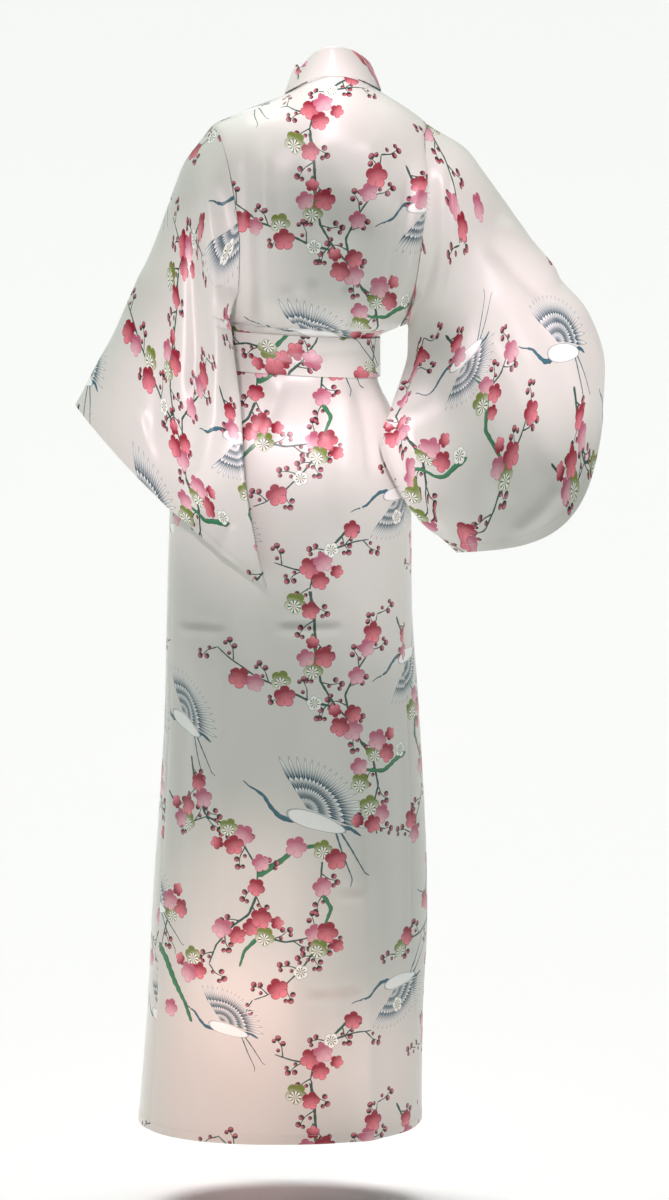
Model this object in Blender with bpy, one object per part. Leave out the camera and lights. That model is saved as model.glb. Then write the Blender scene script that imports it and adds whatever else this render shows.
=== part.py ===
# A long silk kimono robe with its sash, in the shape it has when it is worn.
# Metres, +Z up. The wearer faces -Y, and +X is the wearer's left.
# The origin is in the middle of the neck opening, level with the nape,
# where the wearer's shoulders carry the robe.

import math
from functools import partial

import bmesh
import bpy
from mathutils import Matrix, Vector

ROBE = "silk_kimono_robe"

# Driving sizes
CLOTH = 0.0016              # wall of the silk panels
SEAM_GAP = 0.0004           # between two pieces at a seam
ARMHOLE_GAP = 0.0016        # the same where a sleeve meets the body at an angle
UNDERARM_GAP = 0.006        # the same at the foot of an armhole
HEM = -1.375                # height of the hem
BUST = -0.140               # height where the shoulders begin to round over
DOME_ROUND = 0.8            # 1 rounds the shoulders like an ellipse, less is fuller
NECK_HALF = 0.058           # from the middle of the neck to a neck point
NECK_TOP = -0.020           # height of the neck points
NECK_DROP = 0.33            # depth of the back neck curve, as part of the rise
BAND_WIDTH = 0.050          # collar strip, folded
BAND_RISE = 0.036           # how far the strip stands up behind the neck
BAND_LEAN = 0.012           # how far it leans in on its way up
BACK_LEAN = 0.006           # the same at the nape
NECK_LIFT = 0.018           # how far past the back's edge it starts, as part of the rise
SASH_LOW = -0.381
SASH_HIGH = -0.331
SASH_WALL = 0.0024
SASH_CLEAR = 0.0009         # between the robe and the sash
END_WIDTH = 0.050           # hanging ends of the sash
END_LENGTH = 0.42
END_DROP = 0.006            # from the sash to where an end begins
END_OFF = 0.004             # from the robe to an end
END_RIPPLE = 0.0015
UNDERLAP = 0.0042           # how far the right front lies inside the left one
ROUNDNESS = 2.3             # 2 is an ellipse, more is boxier
SIDE_FALL = 5.0             # how steeply a section goes on past its sides
SLEEVE_CLEAR = 0.007        # sleeve to skirt
SLEEVE_ROOM = 0.012         # half the room kept between a sleeve's two faces there
SLEEVE_SOFT = 0.006         # how softly a sleeve turns away from the skirt
SLEEVE_REACH = 1.1          # how full the sleeve is just past the armhole

# The body from hem to bust: a row for each level section.
# left and right are where the outline lies, back and front are depths from middle,
# tilt is how much higher the section lies for each metre to the wearer's left,
# and the seams are angles, in degrees from the wearer's left, going round the back.
BODY = {
    "columns": ("height", "left", "right", "back", "front", "middle", "tilt", "left_seam", "right_seam"),
    "rows": (
        (-1.375, 0.259, -0.118, 0.152, 0.148, 0.000, 0.00, 27.0, 166.0),
        (-1.221, 0.246, -0.120, 0.145, 0.143, 0.000, 0.00, 24.0, 158.0),
        (-1.089, 0.239, -0.125, 0.140, 0.138, 0.002, 0.00, 22.0, 151.0),
        (-0.957, 0.229, -0.121, 0.135, 0.133, 0.004, 0.00, 20.0, 153.0),
        (-0.825, 0.221, -0.113, 0.131, 0.127, 0.006, 0.00, 19.0, 155.0),
        (-0.693, 0.218, -0.104, 0.128, 0.121, 0.008, 0.00, 18.0, 157.0),
        (-0.561, 0.213, -0.102, 0.124, 0.116, 0.010, 0.01, 18.0, 160.0),
        (-0.469, 0.201, -0.090, 0.113, 0.110, 0.010, 0.03, 15.0, 164.0),
        (-0.416, 0.181, -0.073, 0.098, 0.103, 0.007, 0.05, 11.0, 168.0),
        (-0.381, 0.158, -0.059, 0.086, 0.094, 0.004, 0.06, 8.0, 171.0),
        (-0.331, 0.156, -0.059, 0.084, 0.090, 0.003, 0.06, 6.0, 174.0),
        (-0.314, 0.168, -0.092, 0.100, 0.097, 0.003, 0.05, 6.0, 175.0),
        (-0.285, 0.176, -0.114, 0.109, 0.103, 0.003, 0.03, 6.0, 175.0),
        (-0.200, 0.186, -0.136, 0.112, 0.108, 0.002, 0.00, 6.0, 175.0),
        (-0.140, 0.190, -0.141, 0.106, 0.098, 0.000, 0.00, 6.0, 175.0),
    ),
}

# The ridge of the shoulders, from the wearer's right to the left.
SHOULDER = {
    "columns": ("across", "height"),
    "rows": (
        (-0.165, -0.112),
        (-0.128, -0.068),
        (-0.095, -0.042),
        (-0.059, -0.020),
        (0.000, 0.020),
        (0.057, -0.022),
        (0.115, -0.046),
        (0.169, -0.072),
        (0.200, -0.112),
    ),
}

# The armholes, where the body panels end above the underarms.
ARMHOLE = {
    "columns": ("height", "left_back", "left_front", "right_back", "right_front"),
    "rows": (
        (-0.318, 0.144, 0.158, -0.084, -0.086),
        (-0.300, 0.132, 0.158, -0.096, -0.098),
        (-0.270, 0.121, 0.156, -0.105, -0.107),
        (-0.219, 0.119, 0.156, -0.113, -0.114),
        (-0.149, 0.127, 0.154, -0.119, -0.118),
        (-0.087, 0.145, 0.156, -0.118, -0.119),
        (-0.072, 0.156, 0.156, -0.122, -0.122),
    ),
}
UNDERARM = -0.318
ARM_TOP = -0.072

# The front opening: its middle, and how far each front runs past it before the band.
OPENING = {
    "columns": ("height", "middle", "past"),
    "rows": (
        (-1.375, 0.070, 0.055),
        (-0.900, 0.060, 0.050),
        (-0.600, 0.056, 0.045),
        (-0.381, 0.050, 0.035),
        (-0.331, 0.048, 0.020),
        (-0.250, 0.034, -0.018),
        (-0.160, 0.014, -0.048),
        (-0.080, 0.002, -0.057),
        (-0.020, 0.000, -0.058),
    ),
}

# Soft folds and pressed creases of the body. across is where a fold lies at its top and
# its foot, width is half of it, and height is positive for a ridge, negative for a trough.
FOLDS = {
    "columns": ("side", "top", "foot", "top_across", "foot_across", "width", "height"),
    "rows": (
        (1, -0.07, -0.34, 0.092, 0.088, 0.011, 0.006),
        (1, -0.07, -0.34, 0.110, 0.106, 0.009, -0.004),
        (1, -0.12, -0.34, -0.082, -0.060, 0.014, 0.005),
        (1, -0.95, -1.45, -0.036, -0.048, 0.016, 0.006),
        (1, -0.66, -1.30, -0.093, -0.096, 0.015, -0.007),
        (1, -0.66, -1.20, 0.160, 0.184, 0.030, 0.005),
        (1, -0.62, -1.25, 0.110, 0.120, 0.028, -0.005),
        (1, -0.40, -0.62, 0.028, 0.000, 0.022, 0.004),
        (-1, -0.42, -1.30, 0.150, 0.180, 0.022, -0.006),
        (-1, -0.50, -1.45, -0.050, -0.070, 0.020, 0.007),
        (-1, -0.45, -1.10, 0.090, 0.110, 0.024, 0.005),
        (-1, -0.10, -0.34, 0.120, 0.105, 0.014, 0.005),
        (-1, -0.12, -0.34, -0.085, -0.060, 0.014, 0.005),
    ),
}

# The sleeves: a row for each section, from near the armhole to the cuff.
# top_x, top_z and top_y are the fold over the arm, low_x, low_z and low_y the fold below it,
# top_half and low_half are half the depth of the hollow near each fold,
# and belly is how far the section bows out between the folds.
SLEEVE_COLUMNS = (
    "along", "top_x", "top_y", "top_z", "low_x", "low_y", "low_z", "top_half", "low_half", "belly",
)
LEFT_SLEEVE = {
    "columns": SLEEVE_COLUMNS,
    "rows": (
        (0.24, 0.199, 0.000, -0.128, 0.128, 0.098, -0.345, 0.056, 0.022, 0.004),
        (0.48, 0.231, 0.004, -0.214, 0.117, 0.124, -0.420, 0.054, 0.016, 0.004),
        (0.72, 0.270, 0.008, -0.306, 0.112, 0.150, -0.505, 0.050, 0.014, 0.006),
        (0.88, 0.308, 0.012, -0.374, 0.098, 0.160, -0.590, 0.047, 0.015, 0.008),
        (1.00, 0.334, 0.016, -0.425, 0.084, 0.164, -0.646, 0.045, 0.018, 0.010),
    ),
}
RIGHT_SLEEVE = {
    "columns": SLEEVE_COLUMNS,
    "rows": (
        (0.20, -0.184, 0.000, -0.108, -0.097, 0.030, -0.325, 0.056, 0.030, 0.006),
        (0.40, -0.238, 0.000, -0.183, -0.096, 0.048, -0.356, 0.054, 0.022, 0.012),
        (0.60, -0.290, -0.004, -0.256, -0.075, 0.080, -0.424, 0.052, 0.016, 0.020),
        (0.76, -0.336, -0.008, -0.312, -0.060, 0.098, -0.468, 0.050, 0.015, 0.034),
        (0.89, -0.355, -0.010, -0.378, -0.096, 0.090, -0.548, 0.046, 0.018, 0.050),
        (1.00, -0.352, -0.010, -0.446, -0.160, 0.070, -0.611, 0.042, 0.022, 0.064),
    ),
}

# The knot and the two ends of the sash, a little to the wearer's left of the middle.
KNOT_ACROSS = 0.078
KNOT_SIZE = (0.066, 0.034, 0.058)
KNOT_ROUND = 0.011
KNOT_CLEAR = 0.0026
SASH_ENDS = (("sash_end_right", 0.050, 0.040), ("sash_end_left", 0.106, 0.124))

# Colours
IVORY = (0.90, 0.87, 0.82)
BLUSH = (0.90, 0.82, 0.79)

# How many faces each piece is drawn with. The body's rows go from one height to the next.
BODY_ROW_STEPS = (
    (HEM, -0.470, 10),
    (-0.470, SASH_LOW, 3),
    (SASH_LOW, SASH_HIGH, 2),
    (SASH_HIGH, -0.318, 1),
    (-0.318, -0.270, 3),
    (-0.270, BUST, 3),
)
DOME_STEPS = 5
BACK_COLUMNS = 20
FRONT_COLUMNS = 12
SLEEVE_ROUND = 28
SLEEVE_ALONG = 11
NECK_STEPS = 12
SASH_ROUND = 40


def read(table, name, at):
    """Value of a column at a place between the rows, on a smooth curve with no overshoot."""
    column = table["columns"].index(name)
    rows = table["rows"]
    keys = [row[0] for row in rows]
    values = [row[column] for row in rows]
    if at <= keys[0]:
        return values[0]
    if at >= keys[-1]:
        return values[-1]
    last = len(keys) - 1
    slopes = [(values[i + 1] - values[i]) / (keys[i + 1] - keys[i]) for i in range(last)]
    tangents = [slopes[0]]
    for before, after in zip(slopes, slopes[1:]):
        same_way = before * after > 0.0
        tangents.append(2.0 * before * after / (before + after) if same_way else 0.0)
    tangents.append(slopes[-1])
    i = max(k for k in range(last) if keys[k] <= at)
    span = keys[i + 1] - keys[i]
    t = (at - keys[i]) / span
    return (
        values[i] * (1 + 2 * t) * (1 - t) ** 2
        + tangents[i] * span * t * (1 - t) ** 2
        + values[i + 1] * t * t * (3 - 2 * t)
        + tangents[i + 1] * span * t * t * (t - 1)
    )


def blend(a, b, t):
    return a + (b - a) * t


def ease(t):
    t = min(max(t, 0.0), 1.0)
    return t * t * (3.0 - 2.0 * t)


def outline(height):
    """Centre, half width, back depth, front depth, middle and tilt of a level section."""
    left = read(BODY, "left", height)
    right = read(BODY, "right", height)
    return (
        (left + right) / 2,
        (left - right) / 2,
        read(BODY, "back", height),
        read(BODY, "front", height),
        read(BODY, "middle", height),
        read(BODY, "tilt", height),
    )


def fold_push(across, height, side):
    """How far the folds lift the cloth outwards at a place on the back (1) or front (-1)."""
    push = 0.0
    for row in FOLDS["rows"]:
        fold = dict(zip(FOLDS["columns"], row))
        down = (fold["top"] - height) / (fold["top"] - fold["foot"])
        if fold["side"] != side or not 0.0 < down < 1.0:
            continue
        line = blend(fold["top_across"], fold["foot_across"], down)
        fade = ease(min(down, 1.0 - down) * 5.0)
        push += fold["height"] * fade * math.exp(-(((across - line) / fold["width"]) ** 2))
    return push


def ring_point(height, turn, out=0.0):
    """A point of the body below the bust. turn goes round from the wearer's left by the back."""
    centre, half, back, front, middle, tilt = outline(height)
    c = math.cos(turn)
    s = math.sin(turn)
    side = 1 if s >= 0.0 else -1
    depth = back if side == 1 else front
    x = centre + half * math.copysign(abs(c) ** (2 / ROUNDNESS), c)
    y = middle + depth * math.copysign(abs(s) ** (2 / ROUNDNESS), s)
    normal = Vector((c / half, s / depth, 0.0)).normalized()
    push = out + fold_push(x, height, side) * abs(normal.y)
    return Vector((x, y, height + tilt * (x - centre))) + normal * push


def turn_at(height, across, side):
    """The turn at which the section passes x = across on its back (1) or front (-1)."""
    centre, half = outline(height)[:2]
    r = min(max((across - centre) / half, -1.0), 1.0)
    return side * math.acos(math.copysign(abs(r) ** (ROUNDNESS / 2), r))


def depth_at(height, across, side):
    """Depth of the section's back or front at x = across, falling away past its sides."""
    centre, half, back, front, middle, _ = outline(height)
    r = abs(across - centre) / half
    if r >= 1.0:
        return middle - side * (r - 1.0) * half * SIDE_FALL
    depth = back if side == 1 else front
    return middle + side * depth * (1.0 - r ** ROUNDNESS) ** (1 / ROUNDNESS)


def dome_point(across, rise, side, out=0.0):
    """A point above the bust. rise is 0 at the bust and 1 on the ridge of the shoulders."""
    ridge = read(SHOULDER, "height", across)
    base = abs(depth_at(BUST, across, side))
    turn = rise * math.pi / 2
    y = SEAM_GAP / 2 + base * max(math.cos(turn), 0.0) ** DOME_ROUND
    z = BUST + (ridge - BUST) * math.sin(turn)
    push = out + fold_push(across, z, side) * math.cos(turn)
    return Vector((across, side * (y + push * math.cos(turn)), z + out * math.sin(turn)))


def body_level(v):
    """Height and rise of a row of the body, v from 0 at the hem to 1 at the shoulders."""
    step = v * (sum(count for _, _, count in BODY_ROW_STEPS) + DOME_STEPS)
    for low, high, count in BODY_ROW_STEPS:
        if step <= count:
            return blend(low, high, step / count), 0.0
        step -= count
    return BUST, min(step / DOME_STEPS, 1.0)


def armhole_x(side_name, height, rise):
    level = BUST + (ARM_TOP - BUST) * math.sin(rise * math.pi / 2) if rise > 0.0 else height
    return read(ARMHOLE, side_name, level)


def neck_rise(across):
    """How far up the back panel reaches: the ridge at its sides, less at the neck."""
    return 1.0 - NECK_DROP * (1.0 - min(abs(across) / NECK_HALF, 1.0) ** 2)


def back_panel(u, v):
    height, rise = body_level(v)
    level = BUST if rise > 0.0 else height
    if level < UNDERARM:
        half = outline(level)[1]
        left = math.radians(read(BODY, "left_seam", level)) + SEAM_GAP / 2 / half
        right = math.radians(read(BODY, "right_seam", level)) - SEAM_GAP / 2 / half
    else:
        left = turn_at(level, armhole_x("left_back", level, 0.0) - ARMHOLE_GAP / 2, 1)
        right = turn_at(level, armhole_x("right_back", level, 0.0) + ARMHOLE_GAP / 2, 1)
    turn = blend(left, right, u)
    if rise == 0.0:
        return ring_point(level, turn)
    first = ring_point(level, left).x
    last = ring_point(level, right).x
    part = (ring_point(level, turn).x - first) / (last - first)
    left_x = armhole_x("left_back", height, rise) - ARMHOLE_GAP / 2
    right_x = armhole_x("right_back", height, rise) + ARMHOLE_GAP / 2
    across = blend(left_x, right_x, part)
    return dome_point(across, rise * neck_rise(across), 1)


def opening_x(height, rise, wearer_side, extra):
    """x of a front's edge, or of a line extra metres past it. wearer_side is 1 for the left."""
    level = BUST + (NECK_TOP - BUST) * math.sin(rise * math.pi / 2) if rise > 0.0 else height
    past = read(OPENING, "past", level) + extra
    return read(OPENING, "middle", level) - wearer_side * past


def underlap(across, height, rise):
    """How far inside the left front the right one lies."""
    if rise > 0.0:
        return 0.0
    edge = opening_x(height, 0.0, 1, BAND_WIDTH)
    return UNDERLAP * ease((across - edge + 0.045) / 0.035) * ease((BUST + 0.01 - height) / 0.03)


def front_panel(wearer_side, u, v):
    height, rise = body_level(v)
    level = BUST if rise > 0.0 else height
    name = "left" if wearer_side == 1 else "right"
    if level < UNDERARM:
        seam = math.radians(read(BODY, name + "_seam", level)) - (0.0 if wearer_side == 1 else 2 * math.pi)
        start = seam - wearer_side * SEAM_GAP / 2 / outline(level)[1]
    else:
        hole = armhole_x(name + "_front", level, 0.0) - wearer_side * ARMHOLE_GAP / 2
        start = turn_at(level, hole, -1)
    end = turn_at(level, opening_x(level, 0.0, wearer_side, -SEAM_GAP / 2), -1)
    turn = blend(start, end, u)
    point = ring_point(level, turn)
    if rise == 0.0:
        if wearer_side == 1:
            return point
        return ring_point(level, turn, -underlap(point.x, level, 0.0))
    first = ring_point(level, start).x
    last = ring_point(level, end).x
    part = (point.x - first) / (last - first)
    hole = armhole_x(name + "_front", height, rise) - wearer_side * ARMHOLE_GAP / 2
    edge = opening_x(height, rise, wearer_side, -SEAM_GAP / 2)
    return dome_point(blend(hole, edge, part), rise, -1)


def band_on_front(wearer_side, w, v):
    """The band beside a front's edge, w from 0 at the seam to 1 at the free edge."""
    height, rise = body_level(v)
    across = opening_x(height, rise, wearer_side, SEAM_GAP / 2 + w * BAND_WIDTH)
    if rise == 0.0:
        out = 0.0 if wearer_side == 1 else -underlap(across, height, 0.0)
        return ring_point(height, turn_at(height, across, -1), out)
    edge = dome_point(opening_x(height, rise, wearer_side, SEAM_GAP / 2), rise, -1)
    flat = dome_point(across, rise, -1)
    standing = edge + Vector((-wearer_side * BAND_LEAN, 0.0, BAND_RISE)) * w
    return flat.lerp(standing, ease(rise))


def band_on_neck(w, part):
    """The band behind the neck, part from 0 at the left neck point to 1 at the right one."""
    turn = part * math.pi
    across = (NECK_HALF - SEAM_GAP / 2) * math.cos(turn)
    lift = NECK_LIFT * (0.3 * math.sin(turn) + abs(math.sin(2.0 * turn)))
    seam = dome_point(across, min(neck_rise(across) + lift, 1.0), 1)
    lean = Vector((-BAND_LEAN * math.cos(turn), -BACK_LEAN * math.sin(turn), BAND_RISE))
    return seam + lean * w


def neck_band(u, v):
    rows = sum(count for _, _, count in BODY_ROW_STEPS) + DOME_STEPS
    step = v * (2 * rows + NECK_STEPS)
    if step <= rows:
        return band_on_front(1, u, step / rows)
    if step <= rows + NECK_STEPS:
        return band_on_neck(u, (step - rows) / NECK_STEPS)
    return band_on_front(-1, u, (2 * rows + NECK_STEPS - step) / rows)


def armhole_point(wearer_side, turn):
    """The sleeve's edge at the armhole: turn 0 on the shoulder, going down by the back."""
    name = "left" if wearer_side == 1 else "right"
    side = 1 if turn <= math.pi else -1
    column = name + ("_back" if side == 1 else "_front")
    height = blend(ARM_TOP, UNDERARM + UNDERARM_GAP, (1.0 - math.cos(turn)) / 2)
    wide = UNDERARM_GAP / 2 * ease((UNDERARM + 0.035 - height) / 0.03)
    across = read(ARMHOLE, column, height) + wearer_side * (ARMHOLE_GAP / 2 + wide)
    if height > BUST:
        rise = math.asin(min((height - BUST) / (ARM_TOP - BUST), 1.0)) / (math.pi / 2)
        return dome_point(across, rise, side)
    return ring_point(height, turn_at(height, across, side))


def sleeve_section(table, along, turn):
    """A point of a sleeve's section. turn 0 is the fold over the arm, pi the fold below."""
    place = {name: read(table, name, along) for name in SLEEVE_COLUMNS[1:]}
    top = Vector((place["top_x"], place["top_y"], place["top_z"]))
    low = Vector((place["low_x"], place["low_y"], place["low_z"]))
    w = (1.0 - math.cos(turn)) / 2
    down = low - top
    outward = Vector((down.z, 0.0, -down.x)).normalized()
    if outward.z > 0.0:
        outward.negate()
    half = blend(place["top_half"], place["low_half"], ease(w))
    point = top.lerp(low, w) + outward * place["belly"] * math.sin(w * math.pi)
    point.y += half * math.sin(turn)
    return point


def keep_clear(point, turn, weight):
    """Moves a point of a sleeve back until it is clear of the skirt and the sash."""
    near = ease((-0.265 - point.z) / 0.04) * weight
    if near <= 0.0:
        return point
    sash = SASH_CLEAR + SASH_WALL if SASH_LOW - 0.02 < point.z < SASH_HIGH + 0.02 else 0.0
    lift = SLEEVE_CLEAR + sash + SLEEVE_ROOM * (1.0 + math.sin(turn))
    wall = depth_at(point.z, point.x, 1) + lift
    pushed = (point.y + wall + math.hypot(point.y - wall, SLEEVE_SOFT)) / 2
    return Vector((point.x, blend(point.y, max(pushed, point.y), near), point.z))


def sleeve(table, wearer_side, u, v):
    turn = (2.0 * math.pi * u) % (2.0 * math.pi)
    first = table["rows"][0][0]
    if v >= first:
        point = sleeve_section(table, v, turn)
    else:
        root = armhole_point(wearer_side, turn)
        here = sleeve_section(table, first, turn)
        ahead = sleeve_section(table, first + 0.01, turn)
        run = (ahead - here) / 0.01 * first
        leave = (here - root) * SLEEVE_REACH
        t = v / first
        point = (
            root * ((1 + 2 * t) * (1 - t) ** 2)
            + leave * (t * (1 - t) ** 2)
            + here * (t * t * (3 - 2 * t))
            + run * (t * t * (t - 1))
        )
    return keep_clear(point, turn, ease(3.0 * v / first))


def sash_round(u, v):
    height = blend(SASH_LOW, SASH_HIGH, v)
    return ring_point(height, -2.0 * math.pi * u, SASH_CLEAR)


def sash_end(start_x, end_x, u, v):
    height = SASH_LOW - END_DROP - END_LENGTH * v
    across = blend(start_x, end_x, ease(v)) + (u - 0.5) * END_WIDTH
    ripple = END_RIPPLE * abs(math.sin(v * 9.0 + start_x * 40.0))
    return ring_point(height, turn_at(height, across, -1), END_OFF + ripple)


def surface_normal(surface, u, v, closed):
    e = 1e-4
    u0, u1 = (u - e, u + e) if closed else (max(u - e, 0.0), min(u + e, 1.0))
    v0, v1 = max(v - e, 0.0), min(v + e, 1.0)
    along_u = surface(u1, v) - surface(u0, v)
    along_v = surface(u, v1) - surface(u, v0)
    return along_u.cross(along_v).normalized()


def make_shell(name, surface, columns, rows, wall, colour, closed=False):
    """A sheet of cloth with a wall: a flat slab whose two faces are laid on the surface.

    wall is positive where the thickness lies on the side of the surface's normal.
    """
    bm = bmesh.new()
    bmesh.ops.create_grid(bm, x_segments=columns, y_segments=rows, size=0.5)
    grown = bmesh.ops.extrude_face_region(bm, geom=bm.faces[:], use_keep_orig=True)
    for item in grown["geom"]:
        if isinstance(item, bmesh.types.BMVert):
            item.co.z = 1.0
    if closed:
        ends = [f for f in bm.faces if all(abs(abs(v.co.x) - 0.5) < 1e-6 for v in f.verts)]
        bmesh.ops.delete(bm, geom=ends, context="FACES")
    for vert in bm.verts:
        u = vert.co.x + 0.5
        v = vert.co.y + 0.5
        point = surface(u, v)
        if vert.co.z > 0.5:
            point = point + surface_normal(surface, u, v, closed) * wall
        vert.co = point
    if closed:
        bmesh.ops.remove_doubles(bm, verts=bm.verts[:], dist=1e-5)
    bmesh.ops.recalc_face_normals(bm, faces=bm.faces[:])
    return finish(name, bm, colour)


def make_knot(colour):
    """The knot at the front: a soft block, closed over the sash."""
    height = (SASH_LOW + SASH_HIGH) / 2
    turn = turn_at(height, KNOT_ACROSS, -1)
    face = ring_point(height, turn, SASH_CLEAR + SASH_WALL + KNOT_SIZE[1] / 2 + KNOT_CLEAR)
    inner = ring_point(height, turn, 0.0)
    outward = (face - inner).normalized()
    bm = bmesh.new()
    bmesh.ops.create_cube(bm, size=1.0)
    bmesh.ops.scale(bm, vec=KNOT_SIZE, verts=bm.verts[:])
    bmesh.ops.bevel(
        bm, geom=bm.edges[:], offset=KNOT_ROUND, affect="EDGES", segments=3, profile=0.5, material=-1,
    )
    aim = Matrix.Rotation(math.atan2(outward.x, -outward.y), 4, "Z")
    bmesh.ops.transform(bm, matrix=Matrix.Translation(face) @ aim, verts=bm.verts[:])
    return finish("sash_knot", bm, colour)


def finish(name, bm, colour):
    """Turns a bmesh into a smooth object of the robe with its own material."""
    mesh = bpy.data.meshes.new(name)
    bm.to_mesh(mesh)
    bm.free()
    mesh.shade_smooth()
    mesh.set_sharp_from_angle(angle=math.radians(50))
    silk = bpy.data.materials.new(name + "_silk")
    silk.use_nodes = True
    shader = silk.node_tree.nodes["Principled BSDF"]
    shader.inputs["Base Color"].default_value = (*colour, 1.0)
    shader.inputs["Roughness"].default_value = 0.38
    shader.inputs["Metallic"].default_value = 0.0
    mesh.materials.append(silk)
    piece = bpy.data.objects.new(name, mesh)
    bpy.data.collections[ROBE].objects.link(piece)
    return piece


def main():
    for old in list(bpy.data.objects):
        bpy.data.objects.remove(old)
    robe = bpy.data.collections.new(ROBE)
    bpy.context.scene.collection.children.link(robe)

    rows = sum(count for _, _, count in BODY_ROW_STEPS) + DOME_STEPS
    make_shell("back_panel", back_panel, BACK_COLUMNS, rows, -CLOTH, IVORY)
    for name, side in (("left", 1), ("right", -1)):
        front = partial(front_panel, side)
        make_shell(name + "_front", front, FRONT_COLUMNS, rows, side * CLOTH, IVORY)
    make_shell("neck_band", neck_band, 2, 2 * rows + NECK_STEPS, CLOTH, IVORY)
    for name, side, table in (("left", 1, LEFT_SLEEVE), ("right", -1, RIGHT_SLEEVE)):
        hung = partial(sleeve, table, side)
        make_shell(name + "_sleeve", hung, SLEEVE_ROUND, SLEEVE_ALONG, side * CLOTH, IVORY, closed=True)
    make_shell("sash", sash_round, SASH_ROUND, 2, -SASH_WALL, BLUSH, closed=True)
    make_knot(BLUSH)
    for name, start_x, end_x in SASH_ENDS:
        make_shell(name, partial(sash_end, start_x, end_x), 3, 10, SASH_WALL, BLUSH)


main()
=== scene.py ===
import math
from functools import lru_cache, partial
from types import SimpleNamespace

import bmesh
import bpy
import numpy as np
from mathutils import Matrix, Vector, noise


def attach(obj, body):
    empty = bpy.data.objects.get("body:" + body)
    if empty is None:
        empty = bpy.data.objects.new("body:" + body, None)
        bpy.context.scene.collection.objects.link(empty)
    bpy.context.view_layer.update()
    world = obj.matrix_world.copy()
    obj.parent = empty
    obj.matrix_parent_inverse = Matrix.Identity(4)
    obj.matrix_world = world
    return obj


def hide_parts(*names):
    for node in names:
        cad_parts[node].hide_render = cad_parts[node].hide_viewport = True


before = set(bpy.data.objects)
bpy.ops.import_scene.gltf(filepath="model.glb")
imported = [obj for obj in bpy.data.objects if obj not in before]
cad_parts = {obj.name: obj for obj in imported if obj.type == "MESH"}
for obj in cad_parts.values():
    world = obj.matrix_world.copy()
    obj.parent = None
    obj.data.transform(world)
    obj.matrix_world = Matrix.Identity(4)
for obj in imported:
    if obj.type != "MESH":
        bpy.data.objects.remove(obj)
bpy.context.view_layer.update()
print("frame loaded")


# ---- Shape of the robe, from the same sizes as its solids

robe = {
    "wall": 0.0008,            # drawn thickness of the silk
    "seamGap": 0.0004,         # between two pieces at a seam
    "armholeGap": 0.0004,
    "underarmGap": 0.002,
    "hem": -1.375,
    "hemDeep": 0.014,          # turned-up hem
    "bust": -0.140,
    "roundness": 2.3,          # 2 is an ellipse, more is boxier
    "domeRound": 0.8,
    "sideFall": 5.0,
    "underarm": -0.318,
    "armTop": -0.072,
    "cell": 0.0040,            # height of the mesh's faces
    "hemCell": 0.0017,
    "hipRows": -0.470,         # levels where rows of faces start anew
    "chestRows": -0.270,
    "domeRows": 34,
    "seamWide": 0.003,         # the sunk line beside a seam, and its depth
    "seamDeep": 0.0009,
    "ripple": 0.0008,
}
collar = {
    "width": 0.050,
    "rise": 0.036,
    "lean": 0.012,
    "backLean": 0.006,
    "lift": 0.018,
    "neckHalf": 0.058,
    "neckTop": -0.020,
    "neckDrop": 0.33,
    "overhang": 0.05,          # how far the strip hangs below its seam, as part of its width
    "puff": 0.0034,            # how far the folded strip stands out
    "slope": 0.34,             # how much lower its top edge runs on the wearer's left
    "underlap": 0.0042,        # how far the right front lies inside the left one
    "flatUnderSash": -0.30,    # the strip lies flat below these levels, on the left and the right
    "flatUnderFront": -0.18,
    "flatFade": 0.08,
    "ripple": 0.0004,
}
sleeves = {
    "clear": 0.007,
    "room": 0.012,
    "soft": 0.006,
    "reach": 1.1,
    "hemDeep": 0.013,
    "cuffPart": 0.045,         # share of a sleeve's length with finer rows of faces
    "cell": 0.0085,            # rows of faces, as shares of the length
    "cuffCell": 0.004,
}
sash = {
    "low": -0.381,
    "high": -0.331,
    "wall": 0.0024,
    "clear": 0.0009,
    "endWidth": 0.050,
    "endLength": 0.42,
    "endDrop": 0.006,
    "endOff": 0.004,
    "endWave": 0.0015,
    "ripple": 0.0012,
    "joinAcross": 0.020,       # the sewn join at the back
    "knotAcross": 0.078,
    "knotSize": (0.066, 0.034, 0.058),
    "knotClear": 0.0026,
    "knotPleat": 0.0017,
    "knotPrint": (-174.0, 70.0),   # mm
    "ends": (("sash_end_right", 0.050, 0.040), ("sash_end_left", 0.106, 0.124)),
}

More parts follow.
